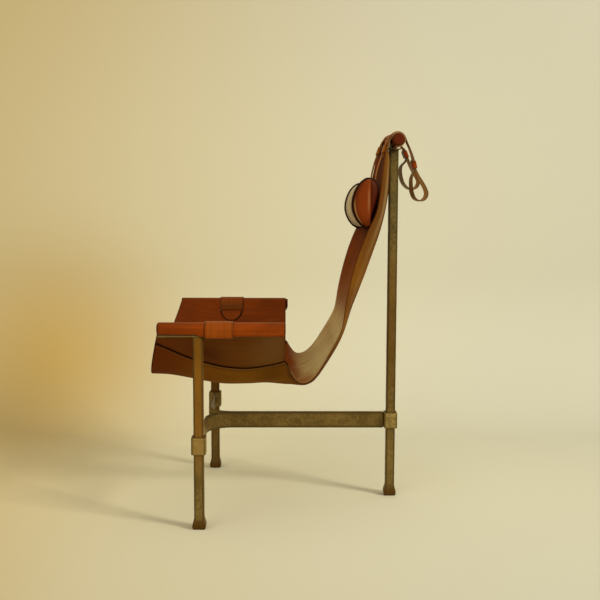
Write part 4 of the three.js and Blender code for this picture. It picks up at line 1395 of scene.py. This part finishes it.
def band_grid():
    """Middle surface of the left arm band. Its tab ends in a half round."""
    shares = np.linspace(-1, 1, 31)
    ends = [band_path(section_at(BAND_Y + end * BAND_WIDTH / 2)) for end in (-1, 1)]
    tab_rows = ends[0][1]
    turns = np.linspace(*TAB_TURNS, tab_rows)
    half = np.full(len(ends[0][0]), BAND_WIDTH / 2)
    half[:tab_rows] = TAB_WIDTH / 2 * np.sin(turns)
    rows = []
    for i, size in enumerate(half):
        row = []
        for share in shares:
            y = BAND_Y + share * size
            mix = (y - BAND_Y) / BAND_WIDTH + 0.5
            x, z = lerp(ends[0][0][i], ends[1][0][i], mix)
            row.append((x, y, z))
        rows.append(row)
    return np.array(rows)


# Headrest


def outline_normals(ring):
    """Outward directions square to a closed ring of (y, z)."""
    along = unit(np.roll(ring, -1, axis=0) - np.roll(ring, 1, axis=0))
    return np.column_stack([along[:, 1], -along[:, 0]])


def pad_ring(grow):
    """Pad section as a closed ring of (y, z), grown or shrunk square to its outline."""
    corners = np.array(PAD_OUTLINE) * (PAD_DEPTH, PAD_HEIGHT)
    ring = smooth_rows(corners, PAD_POINTS, closed=True)
    return pad_centre() + ring + grow * outline_normals(ring)


def pad_centre():
    """The pad's centre (y, z)."""
    y = SEAT_END + PAD_REST * (BACK_FACE - SEAT_END) - PAD_BULGE * PAD_DEPTH
    return np.array([y, BAR.z - PAD_BELOW])


def ring_at(ring, x):
    """A ring (y, z) at a place across the pad, which hangs lower at the sitter's right."""
    return np.column_stack([np.full(len(ring), x), ring]) + np.array([0, 0, PAD_TILT * x])


def simulate(piece, cap):
    """Fills a pinned cover with air for a few frames, and keeps each point within a cap."""
    scene = bpy.context.scene
    before = np.array([v.co for v in piece.data.vertices])
    cloth = piece.modifiers.new("Cloth", "CLOTH")
    adjust(
        cloth.settings,
        quality=6,
        mass=0.3,
        tension_stiffness=12,
        compression_stiffness=12,
        bending_stiffness=0.4,
        use_pressure=True,
        uniform_pressure_force=4,
        shrink_min=-0.035,
        vertex_group_mass="held",
    )
    cloth.settings.effector_weights.gravity = 0
    last = scene.chair_sizes.sim_frames
    cloth.point_cache.frame_start = 1
    cloth.point_cache.frame_end = last
    for number in range(1, last + 1):
        scene.frame_set(number)
    graph = bpy.context.evaluated_depsgraph_get()
    puffed = piece.evaluated_get(graph).to_mesh()
    after = np.array([v.co for v in puffed.vertices])
    piece.evaluated_get(graph).to_mesh_clear()
    piece.modifiers.remove(cloth)
    scene.frame_set(1)
    moved = after - before
    length = np.linalg.norm(moved, axis=1, keepdims=True)
    moved *= np.minimum(1, cap / np.maximum(length, 1e-9))
    piece.data.vertices.foreach_set("co", (before + moved).astype(np.float32).ravel())
    piece.data.update()


def pad_piece():
    """The canvas pad: a cover that is filled and wrinkles between its pipings."""
    half = PAD_LENGTH / 2
    stations = np.concatenate([[-1], np.linspace(-0.985, 0.985, 71), [1]])
    steps = np.linalg.norm(np.diff(pad_ring(0), axis=0), axis=1)
    around = np.concatenate([[0], np.cumsum(steps)])
    rings, uv = [], []
    for share in stations:
        rings.append(ring_at(pad_ring(-PAD_SLACK - 0.8 * MM * abs(share) ** 4), share * half))
        uv.append(np.column_stack([around, share * half + 0 * around]))
    rings = np.array(rings)
    ripple = noise(rings * np.array([1.6, 1, 1]), 21 * MM, 4) * 0.8 * MM
    fade = (1 - abs(stations) ** 6)[:, None]
    rings = rings + outwards(rings) * (ripple * fade)[..., None]
    # Painted shade beside each piping, along a fold, and growing towards the far end.
    seam = 0.75 * hill((1 - abs(stations)) * half, 0, 6 * MM)
    fold_shade = 0.7 * hill(stations * half, 0.5 * half, 20 * MM) + 0.5 * (1 - rise(stations, -1, 0.9))
    fields = {"dark": seam + fold_shade}
    piece = loft_piece("headrest_pad_cover", rings, finish("Canvas"), fields, np.concatenate(uv))
    held = piece.vertex_groups.new(name="held")
    count = len(stations) * PAD_POINTS
    ends = [*range(PAD_POINTS), *range(count - PAD_POINTS, count + 2)]
    held.add(ends, 1.0, "REPLACE")
    simulate(piece, 1.6 * MM)
    piece.vertex_groups.clear()
    return piece


def piping_piece(name, side):
    """A leather-covered cord in the seam between the pad and its cap."""
    centre = side * (PAD_LENGTH / 2 + GAP + PIPE_WIDTH / 2)
    line = pad_ring(PIPE_STAND - PAD_CROWN - CORD_R + CORD_SINK)
    turns = np.linspace(0, 2 * math.pi, CORD_SIDES, endpoint=False)
    lift, aside = CORD_R * np.cos(turns), CORD_R * np.sin(turns)
    rings = []
    for (y, z), (out_y, out_z) in zip(line, outline_normals(line)):
        heights = z + out_z * lift + PAD_TILT * centre
        rings.append(np.column_stack([centre + aside, y + out_y * lift, heights]))
    return loft_piece(name, rings, finish("Piping leather"), {"inset": FAR_IN}, looped=True)


def cap_piece(name, side):
    """A leather dome on the end of the pad, drawn out to a soft upright ridge."""
    start = PAD_LENGTH / 2 + 2 * GAP + PIPE_WIDTH * 0.6
    middle_y, middle_z = pad_centre()
    ridge = middle_y + CAP_RIDGE * PAD_DEPTH
    depth = CAP_DEPTH + PIPE_WIDTH * 0.4
    ring_y, ring_z = pad_ring(-PAD_CROWN - 1 * MM).T
    rings, rear, sheen = [], [], []
    for turn in np.linspace(0, math.radians(87), 26):
        narrow = math.cos(turn) ** 0.92
        y = lerp(ridge, ring_y, narrow)
        z = lerp(middle_z, ring_z, 1 - 0.12 * (1 - narrow))
        x = side * (start + depth * math.sin(turn))
        rings.append(ring_at(np.column_stack([y, z]), x))
        # Painted light on the cap: a highlight streak low at the front and one on the ridge, and
        # painted shade round the rim and over the rear half.
        streak = hill(turn, 0.47, 0.08) * ease((ridge - 20 * MM - ring_y) / (12 * MM))
        streak *= ease((middle_z + 25 * MM - ring_z) / (40 * MM))
        rim = 0.6 * rise(narrow, 0.68, 0.32) * (1 - 0.8 * streak)
        rear_half = 0.95 * ease((ring_y - ridge) / (3 * MM) + 0.6)
        rear.append(np.maximum(rear_half, rim))
        on_ridge = hill(z, middle_z + 8 * MM, 32 * MM) * hill(ridge - y, 5 * MM, 2.5 * MM)
        sheen.append(0.28 * on_ridge + 0.8 * streak)
    rings = np.array(rings)
    bumps = noise(rings, 17 * MM, 8) * 0.35 * MM
    rings += unit(rings - rings.mean(axis=(0, 1))) * bumps[..., None]
    if side < 0:
        rings, rear, sheen = rings[::-1], rear[::-1], sheen[::-1]
    fields = {"inset": FAR_IN, "dark": rear, "worn_and_sheen": sheen}
    return loft_piece(name, rings, finish("Cap leather"), fields)


def back_panel_grid():
    """Middle surface of the leather panel on the rear of the pad."""
    rows = []
    half = PAD_LENGTH / 2 - GAP
    for share in np.linspace(-1, 1, 75):
        ring = pad_ring(GAP + PANEL / 2 - PAD_CROWN * abs(share) ** 4)
        rear = ring[int(len(ring) * PANEL_START) : -2]
        rows.append(ring_at(rear, share * half))
    return np.array(rows)


# Straps


def strap_grid(path, x, count, tilt_from=None, turned=None):
    """Middle surface of a strap along places (y, z).

    From the height tilt_from on it takes on the pad's tilt. turned gives the shares of its
    length where it starts to turn, where its keeper slides, and where it is turned the most.
    """
    line = smooth_rows(np.array(path), count)
    shares = np.linspace(-0.5, 0.5, 11) * STRAP_WIDTH
    turns = np.zeros(count)
    if turned:
        knots = (*turned, 0.75, 0.9)
        values = (0, KEEPER_TWIST, KEEPER_TWIST, TAIL_TWIST, TAIL_TWIST, KEEPER_TWIST)
        turns = np.interp(np.linspace(0, 1, count), knots, values)
    rows = []
    for (y, z), turn in zip(line, turns):
        tilted = 0 if tilt_from is None else ease((tilt_from - z) / (55 * MM))
        heights = z + tilted * PAD_TILT * (x + shares)
        across, behind = shares * math.cos(turn), shares * math.sin(turn)
        rows.append(np.column_stack([x + across, y + behind, heights]))
    return np.array(rows)


def along_run(distance):
    return (
        BAR.y + RUN_START[0] - distance * math.sin(RUN_LEAN),
        BAR.z + RUN_START[1] - distance * math.cos(RUN_LEAN),
    )


def front_strap_path():
    """From the top of the crossbar down to the panel behind the pad."""
    centre = pad_centre()
    ring = pad_ring(2 * GAP + PANEL + HIDE / 2)
    first, last = (round(len(ring) * share) for share in STRAP_SEWN)
    top = (centre[0] + STRAP_TOP[0] * PAD_DEPTH, centre[1] + STRAP_TOP[1] * PAD_HEIGHT)
    return [
        *[on_bar(angle, STRAP_R) for angle in range(90, 155, 8)],
        (BAR.y - 28 * MM, BAR.z),
        along_run(0),
        along_run(RUN_LENGTH / 2),
        along_run(RUN_LENGTH),
        top,
        *[tuple(p) for p in ring[first:last:4][::-1]],
    ]


def at_keeper(tail, down, out):
    """A place beside a tail's keeper: down along the strap, and out to the rear."""
    lean = tail["lean"]
    return (
        BAR.y + tail["keeper"][0] * MM + down * math.sin(lean) + out * math.cos(lean),
        BAR.z + tail["keeper"][1] * MM - down * math.cos(lean) + out * math.sin(lean),
    )


def tail_path(tail):
    """From the top of the crossbar down through the keeper, round the loop and back."""
    run = REAR_KEEPER / 2 + 4 * MM

    def spot(place):
        return BAR.y + place[0] * MM, BAR.z + place[1] * MM

    return [
        *[on_bar(angle, STRAP_R) for angle in range(90, 25, -8)],
        *[spot(p) for p in tail["above"]],
        at_keeper(tail, -run, LAYER),
        at_keeper(tail, 0, LAYER),
        at_keeper(tail, run, LAYER),
        *[spot(p) for p in tail["loop"]],
        at_keeper(tail, run, -LAYER),
        at_keeper(tail, 0, -LAYER),
        at_keeper(tail, -run, -LAYER),
    ]


def keeper_piece(name, x, centre, lean, height, inside, leather, twist=0.0):
    """A leather ring round a strap, butted and sewn at its back."""
    half_x = STRAP_WIDTH / 2 + KEEPER_SPARE + KEEPER_WALL / 2
    half_y = inside / 2 + KEEPER_SPARE + KEEPER_WALL / 2
    section, _ = rounded_section(half_x, half_y, 1.6 * MM, 6)
    section = np.roll(section, -(len(section) // 4) - 6, axis=0)
    loop = np.concatenate([section, section[:1]])
    loop[[0, -1], 0] += (0.1 * MM, -0.1 * MM)
    s = np.linspace(-0.5, 0.5, 9) * height
    rows = []
    for a, b in loop[::-1]:
        y = centre[0] + b * math.cos(lean) - s * math.sin(lean)
        z = centre[1] + b * math.sin(lean) + s * math.cos(lean)
        rows.append(np.column_stack([x + a * math.cos(twist) + 0 * s, y + a * math.sin(twist), z]))
    return sheet_piece(name, np.array(rows), leather, thickness=KEEPER_WALL)


# Operators


class CHAIR_OT_stage(bpy.types.Operator):
    """Makes the backdrop, the lamps and the camera"""

    bl_idname = "chair.stage"
    bl_label = "Stage"

    def execute(self, context):
        scene = context.scene
        tints = scene.chair_colours
        profile = [(FLOOR_END, 0)] + [(x, 0) for x in np.linspace(4, SWEEP_X, 12)]
        for turn in np.linspace(0, math.pi / 2, 16)[1:]:
            rear = SWEEP_X - SWEEP_R * math.sin(turn)
            profile.append((rear, SWEEP_R * (1 - math.cos(turn))))
        profile += [(SWEEP_X - SWEEP_R, z) for z in np.linspace(0.9, WALL_TOP, 8)]
        across = np.linspace(-BACKDROP_HALF, BACKDROP_HALF, 25)
        points = [(x, y, z) for x, z in profile for y in across]
        index = np.arange(len(points)).reshape(len(profile), len(across))
        corners = [index[:-1, :-1], index[:-1, 1:], index[1:, 1:], index[1:, :-1]]
        faces = np.stack(corners, -1).reshape(-1, 4)
        tree = new_tree("Backdrop")
        where = coordinates(tree)
        aside = Value(add(tree, "ShaderNodeSeparateXYZ", {0: where}).outputs["Y"])
        # Painted shade to the left and low on the left, and a painted pool of light behind the
        # chair.
        colour = mix(ramp(aside, *FLOOR_SHARE), tints.floor_left, tints.floor)
        for key, (location, scale) in FLOOR_SPOTS.items():
            inputs = {"Vector": where, "Location": location, "Scale": scale}
            moved = add(tree, "ShaderNodeMapping", inputs).outputs[0]
            away = add(tree, "ShaderNodeVectorMath", {0: moved}, operation="LENGTH")
            near = ramp(Value(away.outputs["Value"]), SPOT_REACH, 0.0)
            colour = mix(near, colour, getattr(tints, key))
        surface(tree, colour, 0.95, 0.1)
        # Its rear is clear, so the chair also shows from behind it.
        rear = add(tree, "ShaderNodeNewGeometry").outputs["Backfacing"]
        clear = add(tree, "ShaderNodeBsdfTransparent").outputs[0]
        front = tree.nodes["Principled BSDF"].outputs[0]
        seen = add(tree, "ShaderNodeMixShader", {0: rear, 1: front, 2: clear})
        fill(tree.nodes["Material Output"], {"Surface": seen.outputs[0]})
        floor = mesh_piece("backdrop", points, faces, bpy.data.materials["Backdrop"])

        for name, settings in LAMPS.items():
            self.lamp(name, *settings)
        world = bpy.data.worlds.new("Room") if scene.world is None else scene.world
        scene.world = world
        world.use_nodes = True
        fill(world.node_tree.nodes["Background"], ROOM_LIGHT)
        self.camera(scene)
        scene.view_settings.view_transform = "Standard"
        return {"FINISHED"}

    def lamp(self, name, at, target, size, power, colour):
        """A square soft lamp."""
        data = bpy.data.lights.new(name, "AREA")
        adjust(data, shape="SQUARE", size=size, energy=power, color=colour)
        lamp = new_object(name, data)
        lamp.location = at
        lamp.rotation_euler = (Vector(target) - Vector(at)).to_track_quat("-Z", "Y").to_euler()

    def camera(self, scene):
        """The photograph's camera."""
        tilt, turn, roll = CAMERA_TILT, CAMERA_TURN, CAMERA_ROLL
        level = Vector((-math.cos(turn), math.sin(turn), 0))
        ahead = level * math.cos(tilt) - Vector((0, 0, math.sin(tilt)))
        right = ahead.cross(Vector((0, 0, 1))).normalized()
        up = right.cross(ahead)
        right_rolled = right * math.cos(roll) + up * math.sin(roll)
        up_rolled = up * math.cos(roll) - right * math.sin(roll)
        data = bpy.data.cameras.new("Camera")
        data.lens = FOCAL_PIXELS / FRAME_PIXELS * data.sensor_width
        data.clip_end = 50
        camera = new_object("Camera", data)
        axes = Matrix((right_rolled, up_rolled, -ahead)).transposed()
        camera.matrix_world = Matrix.Translation(CAMERA_AT) @ axes.to_4x4()
        scene.camera = camera


class CHAIR_OT_ironwork(bpy.types.Operator):
    """Makes the uprights, collars and stretcher, and finishes the plates"""

    bl_idname = "chair.ironwork"
    bl_label = "Ironwork"

    def execute(self, context):
        for name, side in SIDES.items():
            node, x = "front_leg_" + name, side * LEG.x
            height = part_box(node)[1].z
            # Painted shade on the front legs.
            extra_dark = near_leg_shade if side > 0 else far_leg_shade
            piece = upright_piece(node + "_bar", x, LEG.y, height, 3 + side, leg_rust_and_reflection, extra_dark)
            place(piece, "frame", "iron", node)
            node = "leg_collar_" + name
            extra_dark = 0.2 if side > 0 else 0.0
            piece = collar_piece(node + "_sleeve", x, LEG.y, COLLAR.z, 21 + side, extra_dark)
            place(piece, "frame", "collar_iron", node)
            node = "stretcher_bar_" + name
            place(stretcher_piece(node + "_flat", side, 31 + side), "frame", "iron", node)
        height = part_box("rear_post")[1].z
        piece = upright_piece("rear_post_bar", POST.x, POST.y, height, 7, post_rust, post_soot)
        place(piece, "frame", "iron", "rear_post")
        piece = collar_piece("post_collar_sleeve", POST.x, POST.y, COLLAR.z, 27)
        place(piece, "frame", "collar_iron", "post_collar")
        for node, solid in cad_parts.items():
            for word, material in (("plate", "Forged iron"), ("screw", "Screw steel")):
                if word in node:
                    solid.data.materials.clear()
                    solid.data.materials.append(finish(material))
        return {"FINISHED"}


class CHAIR_OT_dowels(bpy.types.Operator):
    """Makes the wooden dowels of the arms and the crossbar"""

    bl_idname = "chair.dowels"
    bl_label = "Dowels"

    def execute(self, context):
        for name in SIDES:
            node = "arm_dowel_" + name
            piece = dowel_piece(node + "_wood", middle(node), reach(node).y, RAIL_R, 1, 1.5 * MM)
            place(piece, "frame", "wood", node)
        piece = dowel_piece("crossbar_dowel_wood", BAR, BAR_HALF, BAR_R, 0, 3 * MM)
        place(piece, "frame", "wood", "crossbar_dowel")
        return {"FINISHED"}


class CHAIR_OT_sling(bpy.types.Operator):
    """Makes the sling's main leather, its wings and the seams between them"""

    bl_idname = "chair.sling"
    bl_label = "Sling"

    def execute(self, context):
        grid = seat_back_grid()
        rows = distances(grid, 0)
        top = rise(rows, TOP_EDGE, 20 * MM)
        cut = rise(rows, FREE_EDGE, 30 * MM) * (1 - 0.5 * rise(rows, TRIMMED_EDGE, 100 * MM))
        # A painted highlight along the free edges by the waist and along the top edge.
        start, end = HIGHLIT_EDGE
        edge_highlight = 0.45 * rise(rows, start, 10 * MM) * (1 - rise(rows, end, 20 * MM)) + top
        shade = shading(grid, SHADED_SPOTS)
        # A soft line of painted shade beside each seam.
        seam = 0.6 * (rows < FREE_EDGE)[:, None]
        shade[:, SEAM_COLUMNS] = np.maximum(shade[:, SEAM_COLUMNS], seam)
        fields = {
            # Worn places of the trough, which also carry painted sheen.
            "worn_and_sheen": shading(grid, WORN_AND_SHEEN_SPOTS) * rise(rows, SEAM_END, 35 * MM)[:, None],
            "dark": shading(grid, DARK_SPOTS),
            "rim": 1.2 * (rows < SEAM_END),
            "cut": np.maximum(cut, top),
            "edge_highlight": edge_highlight,
            "faded": shading(grid, FADED_SPOTS),
            "shade": shade,
            "amber": shading(grid, AMBER_SPOTS),
            "ruddy": shading(grid, RUDDY_SPOTS),
        }
        leather, relief = finish("Sling leather"), sling_relief(grid)
        piece = sheet_piece("sling_seat_back_leather", grid, leather, fields, relief=relief)
        place(piece, "frame", "leather", "sling_seat_back")
        sewn = grid[2 : int(np.searchsorted(rows, SEAM_END))]
        lines = [
            inset_line(sewn, inset, -STITCH_LIFT, start)
            for start in (True, False)
            for inset in SEAM_STITCHES
        ]
        for name, side in SIDES.items():
            wing = wing_grid()
            lap = [inset_line(wing[2:-2], inset, STITCH_LIFT) for inset in LAP_STITCHES]
            slot = self.slot(wing)
            if side < 0:
                wing = mirrored(wing)
                columns = wing.shape[1] - 1
                slot = (slot[0], slot[1], columns - slot[3], columns - slot[2])
                lap = [line * MIRROR for line in lap]
            lines += lap
            node = "sling_wing_" + name
            fields = {
                "dark": shading(wing, WING_DARK_SPOTS),
                "cut": rise(distances(wing, 0), 0.4, 8 * MM),
                "ruddy": shading(wing, WING_RUDDY_SPOTS),
                "shade": shading(wing, WING_SHADED_SPOTS),
                "faded": shading(wing, WING_FADED_SPOTS),
            }
            leather = finish("Wing leather")
            piece = sheet_piece(node + "_leather", wing, leather, fields, hole=slot)
            place(piece, "frame", "leather", node)
        stitch_piece("sling_stitches", lines, "frame", "leather")
        return {"FINISHED"}

    def slot(self, wing):
        """Rows and columns that the slot takes out. The lines round it move to its edges."""
        section = section_at(BAND_Y)
        high = HIDE + GAP + SLOT_SPARE
        columns = wing[wing.shape[0] // 2, :, 0]
        face = int(np.argmax(columns > RAIL.x - WRAP_R)) or len(columns)
        first, last = (
            int(np.argmin(abs(columns[:face] - at_slot(section, up, 0)[0]))) for up in (-high, high)
        )
        rows = wing[:, first, 1]
        edges = (BAND_Y - BAND_WIDTH / 2 - SLOT_SPARE, BAND_Y + BAND_WIDTH / 2 + SLOT_SPARE)
        ends = []
        for edge in edges:
            k = int(np.argmin(abs(rows - edge)))
            share = (edge - rows[k - 1]) / (rows[k + 1] - rows[k - 1])
            wing[k] = lerp(wing[k - 1], wing[k + 1], share)
            ends.append(k)
        for row in wing[ends[0] : ends[1] + 1]:
            steps = np.linalg.norm(np.diff(row, axis=0), axis=1)
            travelled = np.concatenate([[0], np.cumsum(steps)])
            centre = np.interp(SLOT_Z, row[:face, 2], travelled[:face])
            row[first], row[last] = (
                [np.interp(centre + up, travelled, row[:, axis]) for axis in range(3)]
                for up in (-high, high)
            )
        return *ends, first, last


class CHAIR_OT_bands(bpy.types.Operator):
    """Makes the leather bands round the arm rails"""

    bl_idname = "chair.bands"
    bl_label = "Arm bands"

    def execute(self, context):
        lines = []
        for name, side in SIDES.items():
            grid = band_grid()
            tab = band_path(section_at(BAND_Y))[1]
            edge = [
                inset_line(grid[2 : tab + 1], TAB_STITCHES, STITCH_LIFT, start)
                for start in (True, False)
            ]
            if side < 0:
                grid = mirrored(grid)
                edge = [line * MIRROR for line in edge]
            lines += edge
            node = "arm_band_" + name
            along = distances(grid, 0)
            on_tab = along < along[tab]
            # Painted shade where the band goes into the slot.
            slot_shade = hill(along, along[tab + 1], 5.5 * MM) + hill(along, along[-5], 3 * MM)
            fields = {
                "dark": 0.9 * (slot_shade + 0.35 * on_tab),
                "rim": 2.6 * on_tab,
                "amber": 0.13 * (along > along[tab]),
            }
            piece = sheet_piece(node + "_leather", grid, finish("Rail leather"), fields)
            place(piece, "frame", "leather", node)
        stitch_piece("band_stitches", lines, "frame", "leather")
        return {"FINISHED"}


class CHAIR_OT_headrest(bpy.types.Operator):
    """Makes the headrest's pad, pipings, caps and rear panel"""

    bl_idname = "chair.headrest"
    bl_label = "Headrest"

    def execute(self, context):
        pad = place(pad_piece(), "headrest", "canvas", "headrest_pad")
        for name, side in SIDES.items():
            node = "headrest_piping_" + name
            place(piping_piece(node + "_cord", side), "headrest", "piping", node)
            node = "headrest_cap_" + name
            place(cap_piece(node + "_leather", side), "headrest", "leather", node)
        grid = back_panel_grid()
        leather = finish("Strap leather")
        piece = sheet_piece("headrest_back_panel_leather", grid, leather, thickness=PANEL)
        place(piece, "headrest", "dark_leather", "headrest_back_panel")
        lift = PANEL / 2 + 0.2 * MM
        lines = [inset_line(grid[2:-2], PANEL_STITCHES, lift, start) for start in (True, False)]
        stitch_piece("headrest_panel_stitches", lines, "headrest", "dark_leather")
        return {"FINISHED"}


class CHAIR_OT_straps(bpy.types.Operator):
    """Makes the headrest's straps, their loops and their keepers"""

    bl_idname = "chair.straps"
    bl_label = "Straps"

    def execute(self, context):
        leather = finish("Strap leather")
        for name, side in SIDES.items():
            x = side * STRAP_X
            grid = strap_grid(front_strap_path(), x, 90, along_run(RUN_LENGTH)[1])[:, ::-1]
            node = "headrest_strap_" + name
            piece = sheet_piece(node + "_leather", grid, leather, {"cut": 0.6})
            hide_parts(node, "strap_saddle_" + name)
            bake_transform(piece)
            tail = TAILS[name]
            grid = strap_grid(tail_path(tail), x, 170, None, tail["turned"])
            node = "strap_tail_" + name
            darkening = 0.55 * (1 - rise(distances(grid, 0), 45 * MM, 30 * MM))
            fields = {"dark": darkening, "cut": 0.35}
            piece = sheet_piece(node + "_leather", grid, finish("Loop leather"), fields)
            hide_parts(node)
            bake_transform(piece)
            node = "front_keeper_" + name
            centre = along_run(FRONT_KEEPER / 2 + 2 * MM)
            piece = keeper_piece(node + "_ring", x, centre, -RUN_LEAN, FRONT_KEEPER, HIDE, leather)
            place(piece, node, "dark_leather", node)
            node = "rear_keeper_" + name
            centre = at_keeper(tail, 0, 0)
            inside = 2 * LAYER + HIDE
            ring = finish("Keeper leather")
            piece = keeper_piece(
                node + "_ring", x, centre, tail["lean"], REAR_KEEPER, inside, ring, KEEPER_TWIST
            )
            place(piece, node, "dark_leather", node)
        return {"FINISHED"}


class CHAIR_PT_panel(bpy.types.Panel):
    """Lists the chair's sizes, colours and pieces"""

    bl_label = "Sling chair"
    bl_idname = "CHAIR_PT_panel"
    bl_space_type = "VIEW_3D"
    bl_region_type = "UI"
    bl_category = "Chair"

    def draw(self, context):
        for group in (context.scene.chair_sizes, context.scene.chair_colours):
            for key in group.__annotations__:
                self.layout.prop(group, key)
        for operator in OPERATORS:
            self.layout.operator(operator.bl_idname)


OPERATORS = (
    CHAIR_OT_stage,
    CHAIR_OT_ironwork,
    CHAIR_OT_dowels,
    CHAIR_OT_sling,
    CHAIR_OT_bands,
    CHAIR_OT_headrest,
    CHAIR_OT_straps,
)
CLASSES = (ChairColours, ChairSizes, *OPERATORS, CHAIR_PT_panel)


def register():
    for kind in CLASSES:
        bpy.utils.register_class(kind)
    bpy.types.Scene.chair_colours = PointerProperty(type=ChairColours)
    bpy.types.Scene.chair_sizes = PointerProperty(type=ChairSizes)


def unregister():
    del bpy.types.Scene.chair_sizes
    del bpy.types.Scene.chair_colours
    for kind in reversed(CLASSES):
        bpy.utils.unregister_class(kind)


def main():
    register()
    make_materials()
    bpy.ops.chair.stage()
    bpy.ops.chair.ironwork()
    bpy.ops.chair.dowels()
    bpy.ops.chair.sling()
    bpy.ops.chair.bands()
    bpy.ops.chair.headrest()
    bpy.ops.chair.straps()


if __name__ == "__main__":
    main()
